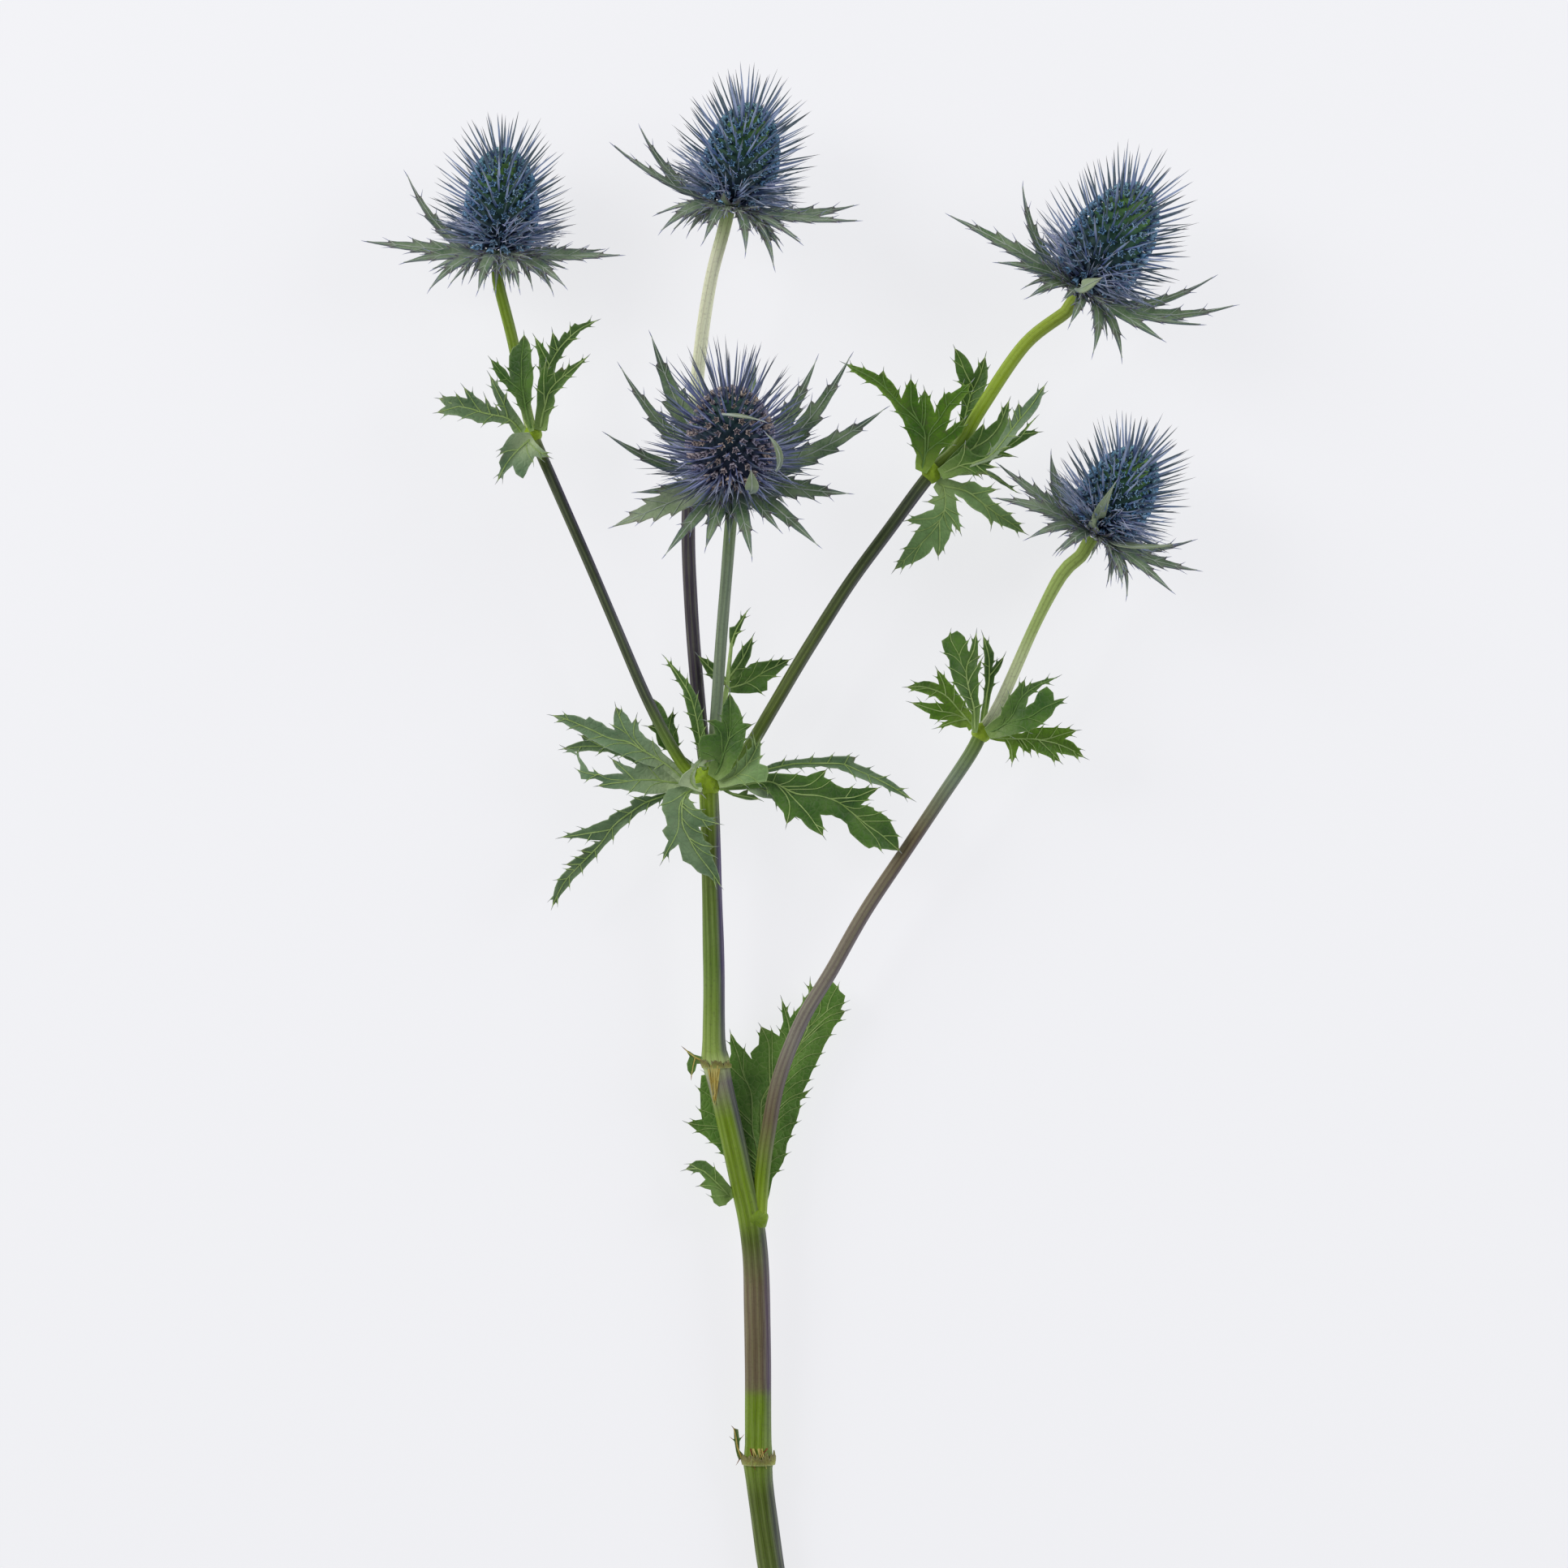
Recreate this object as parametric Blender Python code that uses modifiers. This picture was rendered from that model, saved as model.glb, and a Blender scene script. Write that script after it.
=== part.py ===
"""Sea holly: one cut, forked flowering stem lying on a table, with five spiny heads.

Every size below is in millimetres. The table is z = 0, +Y runs along the stem towards
the heads, and +X is to the right when the stem is seen from above.
"""

import math

import bmesh
import bpy
from mathutils import Matrix, Vector
from mathutils.bvhtree import BVHTree

MM = 0.001
COLLECTION = "sea_holly_stem"
GOLDEN = (math.sqrt(5) - 1) / 2

# Driving sizes shared by the repeated pieces.
GAP = 0.35                  # clearance between touching pieces
BLADE_THICKNESS = 0.62      # leaves and bracts
COLLAR_HEIGHT = 1.7         # green disc under each cone, which carries the ruff
COLLAR_RADIUS = 3.3
COLLAR_DRAFT = 0.8          # how much narrower the disc is where it meets the stalk
BRACT_SUNK = 0.9            # how deep a bract's root is sunk in the disc
BRACT_FOLD = 0.25           # how steeply a bract's two halves rise from its rib
NEEDLE_ROOT = 0.62          # radius of a three-sided needle where it leaves the cone
NEEDLE_SHORTEST = 0.86      # needles vary from this share of the head's needle length
NEEDLE_SPREAD = 0.28        # by this much more
NEEDLE_FREE = 2.5           # no needle stands this close to the disc, where bracts pass
FLORET_RELIEF = 0.8         # how far the florets stand above the needle roots
BASE_HALF_WIDTH = 0.7       # half width of a leaf where it meets its node
LEAF_SPAN = 15.0            # a leaf is cut across, to bend, about this often

# Swollen nodes of the stem: centre and radius.
NODES = {
    "left": ((-69.1, 106.0, 17.0), 2.5),
    "right": ((34.0, 96.0, 17.0), 2.8),
    "low": ((47.0, 28.8, 16.0), 2.7),
    "fork": ((-23.9, 16.4, 14.0), 4.2),
    "branch": ((-11.8, -97.7, 8.0), 4.1),
}

# Stem routes: x, y, z and diameter. Most places and all heights were judged by eye. The
# centres of the side branch, left stalk and right stalk were measured on the photo as well,
# and the stations set to them by hand. A stalk ends just short of its head, and the code
# runs it on to the collar.
MAIN_STEM = (
    (-5.5, -200.0, 3.5, 6.9),
    (-8.0, -186.0, 3.8, 6.9),
    (-10.6, -166.0, 4.4, 6.9),
    (-10.9, -160.7, 4.7, 7.9),
    (-10.9, -156.5, 4.9, 6.9),
    (-11.2, -120.0, 6.9, 6.8),
    (-12.2, -102.0, 7.8, 6.6),
    (-15.5, -86.0, 8.7, 6.3),
    (-20.8, -62.0, 10.2, 6.2),
    (-22.0, -56.4, 10.5, 7.3),
    (-22.4, -51.0, 10.7, 5.9),
    (-22.4, -33.0, 11.5, 5.5),
    (-22.9, -12.0, 12.6, 5.2),
    (-23.3, 5.0, 13.4, 5.0),
    (-23.9, 16.4, 14.0, 5.0),
)
SIDE_BRANCH = (
    (-10.6, -97.0, 8.2, 3.8),
    (-9.9, -86.0, 8.9, 4.0),
    (-8.2, -74.0, 9.5, 3.9),
    (-5.5, -61.0, 10.0, 3.8),
    (0.4, -46.0, 10.8, 3.6),
    (8.1, -33.0, 11.4, 3.6),
    (16.6, -18.0, 12.1, 3.5),
    (26.0, -3.8, 13.0, 3.5),
    (36.3, 11.6, 14.3, 3.5),
    (44.0, 23.2, 15.4, 3.6),
    (47.0, 28.8, 16.0, 3.6),
    (51.5, 36.0, 16.6, 3.2),
    (60.4, 56.0, 18.0, 2.9),
    (67.4, 69.5, 19.4, 3.5),
)
LEFT_STALK = (
    (-24.6, 16.8, 14.2, 3.2),
    (-28.6, 18.6, 15.0, 3.2),
    (-33.2, 25.0, 15.4, 3.0),
    (-40.1, 38.5, 15.8, 2.8),
    (-48.0, 57.0, 16.2, 2.7),
    (-56.1, 76.0, 16.6, 2.7),
    (-64.0, 94.0, 16.9, 2.8),
    (-69.1, 106.0, 17.0, 2.9),
    (-71.4, 115.0, 17.1, 2.9),
    (-74.3, 130.0, 17.5, 2.9),
)
BACK_STALK = (
    (-24.2, 17.0, 13.4, 3.4),
    (-25.9, 32.0, 12.6, 3.5),
    (-28.0, 57.0, 13.0, 3.5),
    (-29.0, 80.0, 14.2, 3.5),
    (-28.2, 100.0, 15.8, 3.5),
    (-26.0, 126.0, 18.0, 3.4),
    (-23.2, 145.0, 19.8, 3.3),
)
FRONT_STALK = (
    (-23.0, 17.0, 14.6, 3.0),
    (-21.9, 32.0, 16.6, 3.0),
    (-20.6, 50.0, 19.2, 3.0),
    (-19.2, 67.0, 23.0, 3.0),
    (-17.9, 82.0, 27.6, 3.1),
)
RIGHT_STALK = (
    (-23.2, 16.6, 14.2, 3.4),
    (-18.8, 17.4, 14.9, 3.4),
    (-12.5, 26.2, 15.2, 3.4),
    (-6.9, 35.6, 15.4, 3.4),
    (1.9, 50.4, 15.8, 3.4),
    (12.5, 67.0, 16.3, 3.3),
    (22.6, 80.8, 16.7, 3.3),
    (34.0, 96.0, 17.0, 3.4),
    (40.7, 102.4, 17.2, 3.5),
    (47.0, 113.0, 17.8, 3.4),
    (58.0, 129.0, 19.4, 3.4),
)

# Heads: collar point, lean to the right in the table's plane, lift off the table, core
# width and height, needle length, number of florets. Angles are in degrees.
HEADS = {
    "left": ((-77.9, 151.6, 18.7), 3.0, 5.0, 18.0, 28.0, 9.3, 76),
    "top": ((-18.5, 163.4, 21.5), 14.0, 3.0, 18.6, 28.0, 9.4, 76),
    "right": ((71.8, 142.4, 20.8), 32.5, 4.0, 20.5, 32.0, 9.6, 84),
    "front": ((-17.4, 93.4, 34.0), -2.0, 42.0, 22.0, 28.0, 12.2, 76),
    "low": ((75.4, 79.4, 20.8), 31.5, 4.0, 17.6, 26.0, 9.0, 72),
}
APEX_NARROWING = 0.16       # the cones are egg-shaped, fuller below
TIP_LEAN = 0.42             # needles lean towards the cone's tip by this share

# Bracts of each ruff: where the tip is from the collar (right, front, along the head's
# axis), the greatest width and how many spines each edge carries.
RUFFS = {
    "left": (
        (-34.4, -2, 2.2, 3.8, 2), (-25.3, -9, 20.0, 2.8, 2), (31.4, 4, 2.1, 4.0, 2),
        (25.9, -7, 3.3, 3.6, 2), (-24.0, 7, -2.7, 3.4, 1), (-16.7, 11, -9.0, 3.0, 1),
        (-17.5, -12, -4.0, 3.0, 1), (-4.1, 15, -9.0, 3.2, 1), (6.4, 14, -8.0, 2.8, 1),
        (17.8, 10, -6.5, 3.2, 1), (-8.5, -17.6, -2.0, 3.2, 1), (5.0, -18.6, -1.0, 3.2, 1),
        (16.5, -13.5, -2.0, 3.2, 1),
    ),
    "top": (
        (-32.5, 4, 8.8, 3.8, 2), (-27.4, -7, 15.2, 3.2, 2), (31.0, -7, 9.3, 3.8, 2),
        (32.9, 5, 5.2, 3.8, 2), (15.0, 9, -11.5, 3.0, 1), (7.3, 14, -10.0, 3.0, 1),
        (20.1, 12, -4.0, 2.8, 1), (-3.8, 15, -9.8, 3.0, 1), (-15.2, 10, -9.6, 3.2, 1),
        (-18.0, -9, -5.0, 3.2, 1), (-7.0, -16.5, -4.0, 3.0, 1), (8.0, -16.5, -3.0, 3.0, 1),
        (18.5, -12, -2.0, 3.0, 1),
    ),
    "right": (
        (-38.6, -1, -1.2, 3.8, 2), (-27.0, -7, 15.4, 3.0, 2), (-21.5, 9, -5.0, 3.2, 1),
        (-10.0, 12, -8.3, 3.0, 1), (27.3, -9, 22.0, 3.0, 2), (35.6, -3, 18.5, 3.6, 2),
        (31.0, 5, 9.6, 3.6, 1), (24.7, 14, 0.8, 4.4, 1), (11.6, 10, -11.5, 3.0, 1),
        (18.5, 4, -8.4, 2.8, 1), (2.6, 15, -8.6, 3.0, 1), (-16.5, -13.5, -3.0, 3.0, 1),
        (-2.5, -20.6, -1.5, 3.2, 1), (13.5, -16.8, -2.0, 3.0, 1),
    ),
    "front": (
        (-19.5, -26.3, 27.0, 4.8, 2), (-27.6, -20.0, 22.0, 3.8, 2), (-31.5, -2.7, 14.0, 3.2, 1),
        (-24.4, 9.5, 4.6, 3.0, 1), (-30.6, 18.8, 1.2, 6.4, 2), (-17.6, 26.0, -2.8, 3.4, 1),
        (-7.3, 21.0, -5.0, 4.4, 1), (4.4, 26.6, -4.0, 3.6, 1), (11.6, 20.4, -0.6, 3.2, 1),
        (21.2, 22.6, -4.2, 3.6, 1), (29.6, 11.8, 3.6, 4.6, 2), (39.6, -8.0, 15.0, 4.6, 2),
        (31.2, -18.0, 24.4, 4.6, 2), (22.6, -23.4, 19.6, 4.6, 2), (7.0, -25.6, 19.0, 4.4, 1),
        (-8.0, -24.0, 14.0, 3.6, 1),
    ),
    "low": (
        (-30.0, -3, 3.1, 3.8, 2), (-20.1, -7, 12.3, 4.6, 1), (-26.4, 5, -4.6, 3.8, 2),
        (-14.0, 11, -9.0, 3.0, 1), (-5.6, 15, -8.0, 3.0, 1), (-2.6, 15.5, 14.9, 3.8, 1),
        (18.6, 15, 9.2, 4.6, 1), (22.7, -6, 12.4, 3.0, 2), (27.5, 2, 6.6, 3.4, 2),
        (24.4, 9, -1.4, 3.4, 1), (12.6, 13, -6.4, 3.0, 1), (-12.0, -14.5, -2.0, 3.0, 1),
        (2.0, -17.6, -2.0, 3.0, 1), (14.5, -13.5, -1.0, 3.0, 1),
    ),
}

# Half outlines of a bract: share of the length, share of the half width.
BRACT_EDGES = {
    1: ((0.0, 0.36), (0.42, 1.00), (0.48, 0.50)),
    2: ((0.0, 0.36), (0.32, 1.00), (0.38, 0.54), (0.62, 0.86), (0.67, 0.34)),
}

# Leaves: node that carries the leaf, direction of its seat on that node, rise of the tip,
# arch in the middle, V fold, side tilt, and the outline in the table's plane from the node.
LEAVES = {
    "left_leaf_side": ("left", (-0.95, 0.15, 0.15), -3.0, 2.0, 0.18, 0.0, (
        (-6.2, 2.6), (-10.4, 3.2), (-14.2, 2.8), (-15.8, 3.8), (-19.6, 4.8), (-24.8, 5.6),
        (-22.6, 7.2), (-24.4, 9.4), (-21.2, 9.8), (-16.8, 9.0), (-17.8, 12.0), (-14.6, 9.4),
        (-12.2, 7.6), (-12.2, 9.4), (-10.8, 7.0), (-7.8, 5.6), (-10.0, 10.0), (-11.0, 15.0),
        (-8.2, 11.4), (-5.6, 7.2))),
    "left_leaf_upright": ("left", (-0.15, 0.45, 0.9), 4.0, 1.0, 0.12, 0.0, (
        (-2.8, 5.6), (-4.2, 9.0), (-6.8, 12.2), (-9.0, 14.6), (-10.6, 18.8), (-6.8, 16.2),
        (-5.6, 14.0), (-5.8, 19.6), (-4.8, 21.8), (-3.6, 22.6), (-2.0, 25.2), (-0.6, 22.8),
        (-0.2, 18.0), (0.4, 14.0), (-0.2, 11.0), (-0.6, 6.2))),
    "left_leaf_long": ("left", (0.70, 0.65, -0.30), -2.0, 0.0, 0.15, 0.0, (
        (1.8, 9.6), (1.8, 15.6), (1.6, 19.6), (0.4, 25.2), (3.8, 21.2), (4.2, 20.4),
        (5.0, 26.4), (6.6, 24.0), (8.2, 26.6), (8.8, 26.2), (10.8, 28.8), (11.6, 28.4),
        (16.4, 29.6), (12.2, 26.8), (8.2, 22.2), (6.0, 18.4), (4.6, 13.0))),
    "left_leaf_right": ("left", (0.62, 0.55, 0.55), 3.0, 0.5, 0.15, 0.0, (
        (1.2, 7.2), (1.6, 13.4), (3.6, 18.4), (3.8, 13.0), (7.8, 17.0), (8.2, 16.2),
        (14.2, 19.6), (8.8, 13.4), (5.6, 9.8), (5.8, 8.2), (4.2, 4.6))),
    "left_leaf_hanging": ("left", (-0.25, -0.50, 0.85), 0.4, 1.0, 0.10, 0.0, (
        (-5.2, -0.2), (-6.8, -2.2), (-8.4, -5.6), (-7.2, -5.0), (-8.6, -7.6), (-8.2, -9.0),
        (-9.0, -12.2), (-6.8, -9.8), (-5.0, -8.2), (-4.2, -10.6), (-2.4, -11.8),
        (-1.0, -9.0), (0.6, -6.0), (4.4, -6.2), (2.2, -3.8))),
    "right_leaf_palm": ("right", (-0.70, 0.30, 0.62), 1.0, 3.0, 0.12, 0.0, (
        (-4.0, 4.4), (-5.6, 8.4), (-7.6, 13.4), (-10.8, 18.2), (-14.4, 22.0), (-19.2, 25.0),
        (-22.4, 28.0), (-16.0, 26.0), (-13.8, 24.8), (-12.6, 26.0), (-11.8, 24.2),
        (-10.0, 22.4), (-8.0, 18.6), (-5.6, 23.8), (-4.0, 21.0), (-3.6, 17.4), (-2.0, 21.0),
        (-0.4, 17.8), (0.6, 15.0), (1.8, 18.2), (4.2, 20.4), (4.8, 20.0), (10.0, 22.8),
        (8.2, 19.0), (4.8, 15.4), (3.4, 10.4), (8.2, 13.4), (7.4, 9.6), (2.6, 6.0))),
    "right_leaf_back": ("right", (0.20, 0.50, -0.84), -1.0, -1.0, 0.10, 0.0, (
        (3.6, 7.0), (7.4, 12.4), (7.8, 17.0), (8.2, 22.2), (6.4, 26.2), (6.0, 32.4),
        (8.6, 30.6), (10.2, 28.2), (11.0, 25.8), (14.0, 30.4), (14.6, 25.0), (13.4, 21.0),
        (11.8, 18.2), (10.2, 15.0), (9.0, 11.6), (5.2, 5.2))),
    "right_leaf_right": ("right", (0.85, -0.05, 0.52), 3.5, 0.5, 0.14, 0.0, (
        (6.0, 2.4), (8.6, 5.0), (10.2, 6.8), (13.8, 12.4), (14.6, 11.6), (17.4, 16.2),
        (19.8, 18.4), (20.0, 14.2), (22.0, 17.4), (23.0, 16.6), (28.8, 22.2), (27.8, 17.4),
        (26.6, 14.0), (24.6, 10.8), (27.2, 10.2), (23.0, 7.6), (19.8, 6.0), (21.2, 4.0),
        (17.0, 4.0), (13.8, 2.0), (10.2, 0.4), (7.0, -0.8))),
    "right_leaf_hanging": ("right", (0.55, -0.80, 0.10), -2.0, 1.5, 0.08, 0.0, (
        (1.8, -6.0), (-1.2, -7.6), (0.8, -8.4), (0.4, -9.6), (-2.4, -10.6), (-6.6, -12.4),
        (-2.8, -13.6), (-6.0, -18.4), (-9.6, -25.0), (-3.2, -22.6), (-0.6, -20.8),
        (0.4, -19.2), (1.6, -21.8), (3.4, -18.8), (4.4, -17.2), (5.2, -13.2), (7.4, -15.6),
        (6.4, -9.2), (5.8, -5.4), (8.2, -6.8), (10.2, -9.0), (12.8, -10.4), (14.6, -12.0),
        (15.4, -14.0), (16.0, -12.4), (19.4, -14.0), (24.2, -15.6), (21.4, -12.0),
        (18.6, -9.6), (15.8, -7.6), (14.4, -5.6), (16.8, -4.4), (13.0, -3.8), (11.0, -2.4),
        (7.8, -2.8))),
    "low_leaf_broad": ("low", (-0.55, 0.25, 0.78), 2.0, 1.5, 0.12, 0.0, (
        (-2.6, 4.8), (-4.4, 8.2), (-6.4, 11.2), (-8.0, 14.6), (-8.6, 18.6), (-10.2, 21.8),
        (-10.6, 23.6), (-9.4, 24.4), (-6.6, 26.2), (-4.6, 24.6), (-3.8, 21.2), (-3.4, 20.8),
        (-1.6, 25.6), (-1.2, 21.2), (-1.6, 16.8), (-0.2, 19.0), (-1.2, 14.8), (-1.2, 9.2),
        (-0.6, 5.4))),
    "low_leaf_left": ("low", (-0.75, 0.60, -0.25), -2.0, 1.5, 0.06, 0.0, (
        (-3.8, 1.4), (-5.6, 1.2), (-8.0, 2.0), (-11.6, 1.2), (-8.8, 3.2), (-13.6, 3.6),
        (-13.4, 4.8), (-16.0, 6.2), (-18.2, 7.8), (-13.6, 7.6), (-9.6, 7.4), (-12.0, 9.4),
        (-15.4, 10.4), (-19.4, 11.8), (-15.0, 13.4), (-12.4, 13.0), (-11.0, 12.4),
        (-11.6, 16.4), (-8.6, 13.2), (-6.4, 10.4), (-3.8, 6.4))),
    "low_leaf_thin": ("low", (0.05, 0.55, -0.83), 0.6, -0.6, 0.10, 0.0, (
        (0.6, 9.2), (1.0, 12.8), (0.8, 19.6), (0.4, 25.2), (2.6, 21.8), (3.2, 20.6),
        (2.8, 16.8), (5.8, 19.8), (5.0, 17.2), (3.4, 14.6), (2.4, 9.8))),
    "low_leaf_cup": ("low", (0.62, 0.05, 0.78), 1.5, 2.5, 0.10, 0.0, (
        (4.6, 4.4), (6.0, 7.8), (8.0, 10.4), (10.8, 13.6), (11.0, 11.8), (14.4, 13.2),
        (19.2, 14.2), (15.4, 12.2), (11.8, 9.2), (11.0, 6.4), (13.2, 7.8), (14.6, 10.6),
        (16.6, 11.8), (18.2, 10.2), (18.4, 8.2), (21.4, 8.8), (18.8, 6.4), (17.8, 4.4),
        (13.8, 1.2), (9.0, -0.2), (5.4, -1.0))),
    "low_leaf_right": ("low", (0.92, -0.35, -0.10), -3.0, 1.0, 0.08, 0.0, (
        (6.6, -0.4), (10.4, -0.2), (13.8, 1.2), (20.8, 1.2), (24.6, 0.6), (21.4, -1.6),
        (23.8, -2.6), (26.6, -6.4), (19.2, -5.0), (20.4, -7.6), (16.8, -6.0), (12.8, -4.2),
        (12.6, -5.6), (9.6, -3.4), (9.0, -5.0), (7.8, -8.0), (7.0, -4.6), (6.0, -2.4))),
    "fork_leaf_left": ("fork", (-0.95, -0.20, -0.20), -2.0, -1.0, 0.06, 0.0, (
        (-7.2, 1.8), (-9.8, 5.0), (-12.6, 8.2), (-17.2, 11.4), (-18.6, 15.8), (-20.4, 14.4),
        (-23.8, 18.4), (-24.2, 13.2), (-27.0, 14.4), (-30.4, 16.0), (-34.2, 16.4),
        (-40.0, 17.0), (-33.0, 13.2), (-29.6, 11.2), (-32.8, 11.8), (-33.0, 10.4),
        (-37.2, 8.6), (-27.4, 7.6), (-21.6, 5.4), (-16.0, 3.2), (-20.8, 3.0), (-24.2, 5.0),
        (-24.2, 1.6), (-29.0, 1.6), (-33.0, 6.4), (-36.2, 8.6), (-34.0, 3.2), (-32.4, 0.4),
        (-27.6, 0.0), (-27.4, -1.6), (-21.0, -2.6), (-14.6, -3.2), (-19.8, -5.6),
        (-20.4, -7.0), (-24.8, -9.2), (-25.4, -10.4), (-28.6, -11.4), (-33.0, -12.4),
        (-37.2, -14.4), (-29.0, -15.0), (-32.0, -18.6), (-36.2, -21.4), (-37.4, -24.6),
        (-40.2, -32.0), (-35.0, -25.8), (-29.8, -19.4), (-26.8, -15.8), (-19.2, -10.0),
        (-11.8, -4.8), (-8.4, -3.8))),
    "fork_leaf_front": ("fork", (-0.50, -0.45, 0.74), 0.6, 1.5, 0.08, 0.0, (
        (-9.2, -1.4), (-11.2, -3.8), (-11.6, -8.2), (-10.4, -12.0), (-11.2, -20.2),
        (-7.6, -16.4), (-6.6, -20.2), (-2.2, -23.6), (2.8, -26.8), (1.0, -20.2),
        (-2.2, -12.0), (2.6, -11.2), (-2.2, -7.6), (-3.4, -4.6))),
    "fork_leaf_long": ("fork", (0.92, 0.10, -0.36), -0.6, -0.6, 0.05, 0.0, (
        (8.0, 1.8), (13.6, 2.6), (21.2, 4.6), (28.6, 5.6), (37.8, 6.4), (38.8, 4.8),
        (43.8, 2.0), (52.6, -4.8), (45.6, -0.2), (38.2, 3.2), (30.6, 4.0), (23.0, 3.4),
        (13.6, 0.8), (7.8, -0.4))),
    "fork_leaf_big": ("fork", (0.80, -0.40, 0.45), 0.6, 1.5, 0.08, 0.0, (
        (7.2, -0.8), (14.2, 1.2), (21.2, 2.6), (25.6, 1.2), (30.6, 2.6), (30.2, 0.0),
        (35.0, -1.8), (43.8, -1.8), (39.4, -6.0), (42.6, -7.0), (46.2, -9.4), (48.6, -13.8),
        (49.4, -18.2), (44.4, -17.6), (41.2, -17.0), (36.8, -13.2), (35.0, -10.0),
        (29.6, -8.8), (30.0, -14.2), (24.8, -11.6), (20.4, -10.4), (18.6, -7.0),
        (13.0, -3.8), (7.2, -2.8))),
    "fork_leaf_middle": ("fork", (0.38, 0.30, 0.88), 5.0, 0.5, 0.12, 0.0, (
        (2.0, 6.6), (1.6, 11.4), (0.4, 15.4), (3.8, 15.8), (4.2, 19.6), (5.4, 22.0),
        (8.6, 19.6), (9.2, 15.2), (11.6, 14.2), (9.2, 10.0), (8.4, 6.2), (5.0, 3.0))),
    "fork_leaf_folded": ("fork", (0.72, -0.05, 0.69), 2.0, 1.0, 0.12, 0.0, (
        (6.6, 1.6), (11.0, 6.4), (12.4, 9.4), (13.2, 10.4), (13.6, 5.6), (15.8, 3.2),
        (14.8, 0.4), (10.4, -0.4), (6.4, -0.8))),
    "fork_leaf_behind": ("fork", (-0.52, 0.52, -0.68), -1.6, 0.0, 0.08, 0.0, (
        (-8.4, 7.0), (-12.2, 11.4), (-15.0, 13.8), (-13.8, 15.2), (-14.8, 20.8),
        (-11.0, 17.6), (-10.4, 15.2), (-9.0, 17.6), (-8.2, 11.4), (-6.0, 6.6))),
    "fork_leaf_spike": ("fork", (-0.20, 0.75, 0.62), 1.5, 0.6, 0.10, 0.0, (
        (-2.6, 8.4), (-4.4, 15.2), (-6.4, 23.4), (-11.0, 31.8), (-4.4, 24.6), (-2.0, 19.6),
        (-0.6, 11.4), (0.2, 6.4))),
    "stem_leaf_big": ("branch", (0.25, 0.62, -0.75), -1.0, -0.6, 0.02, 0.0, (
        (4.6, 10.4), (7.4, 14.6), (8.4, 19.4), (9.8, 23.0), (11.4, 27.2), (11.8, 30.6),
        (14.4, 33.4), (12.4, 32.6), (14.8, 38.0), (18.2, 45.2), (20.6, 49.8), (23.6, 54.0),
        (22.4, 54.4), (23.6, 58.0), (22.2, 59.2), (20.2, 61.8), (17.8, 60.2), (15.8, 56.8),
        (14.4, 61.8), (14.0, 58.6), (12.0, 55.4), (9.2, 52.2), (7.0, 57.2), (7.4, 51.2),
        (6.4, 47.4), (1.6, 50.0), (1.0, 45.2), (-1.2, 43.0), (-0.8, 41.4), (-4.8, 46.0),
        (-6.4, 48.4), (-6.2, 42.8), (-7.6, 38.0), (-14.0, 37.2), (-14.2, 31.0),
        (-13.8, 25.8), (-17.6, 24.8), (-12.8, 21.2), (-10.0, 18.8), (-5.8, 13.8),
        (-1.6, 9.4))),
}

# Leaves that sit on the bare stem, and what is left of two that were torn off.
PLAIN_SEATS = {
    "curl": ((-14.3, -92.0, 8.4), 3.5),
    "scar": ((-22.0, -56.4, 10.5), 3.75),
    "foot": ((-10.9, -160.7, 4.7), 4.15),
}
LEAVES["stem_leaf_curled"] = ("curl", (-0.98, 0.05, -0.15), -1.0, 2.0, 0.15, 0.0, (
    (-5.1, 4.3), (-6.9, 6.5), (-10.3, 9.5), (-12.9, 9.5), (-15.5, 7.1), (-11.9, 6.5),
    (-10.3, 4.7), (-11.9, 3.1), (-8.9, 2.1), (-8.1, -1.3), (-6.7, -2.3), (-4.9, -1.9)))
LEAVES["torn_leaf"] = ("scar", (-0.95, 0.05, 0.30), 0.0, 0.0, 0.0, 0.0, (
    (-5.6, 1.7), (-7.8, 3.0), (-6.7, 1.2), (-7.4, -0.6), (-7.2, -2.4), (-6.2, -3.8),
    (-5.2, -2.4), (-4.8, -0.7)))
LEAVES["torn_stub"] = ("foot", (-0.97, 0.10, 0.20), 1.0, 0.0, 0.0, 0.0, (
    (-5.8, 2.4), (-6.4, 8.4), (-5.3, 8.1), (-4.9, 2.6)))

# A short leafy shoot in the fork: its own thin stem, and four leaves outlined from the
# fork's node. Each leaf: rise, outline, with the first and last points on the shoot.
SHOOT_STEM = (
    (-21.3, 20.4, 12.9, 1.5),
    (-20.4, 31.0, 13.2, 1.5),
    (-19.0, 41.0, 13.8, 1.3),
    (-17.8, 52.0, 14.0, 0.9),
)
SHOOT_LEAVES = (
    (-1.5, ((4.2, 23.0), (4.4, 24.4), (7.8, 27.0), (11.0, 30.2), (14.2, 30.8), (21.2, 31.4),
            (18.6, 28.4), (15.4, 25.8), (15.4, 23.4), (11.0, 22.6))),
    (1.5, ((4.8, 25.4), (5.0, 27.0), (7.8, 32.8), (11.6, 37.4), (11.0, 32.2), (8.0, 27.0))),
    (1.0, ((5.7, 33.0), (5.7, 34.6), (5.6, 39.6), (7.0, 40.0), (10.2, 44.0), (7.4, 37.2))),
    (2.2, ((4.9, 26.2), (4.8, 24.6), (1.0, 26.4), (-1.2, 29.6), (-2.4, 32.2), (1.8, 30.2))),
)


def link(name, mesh, collection):
    """A new object for a finished mesh."""
    piece = bpy.data.objects.new(name, mesh)
    collection.objects.link(piece)
    return piece


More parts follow.
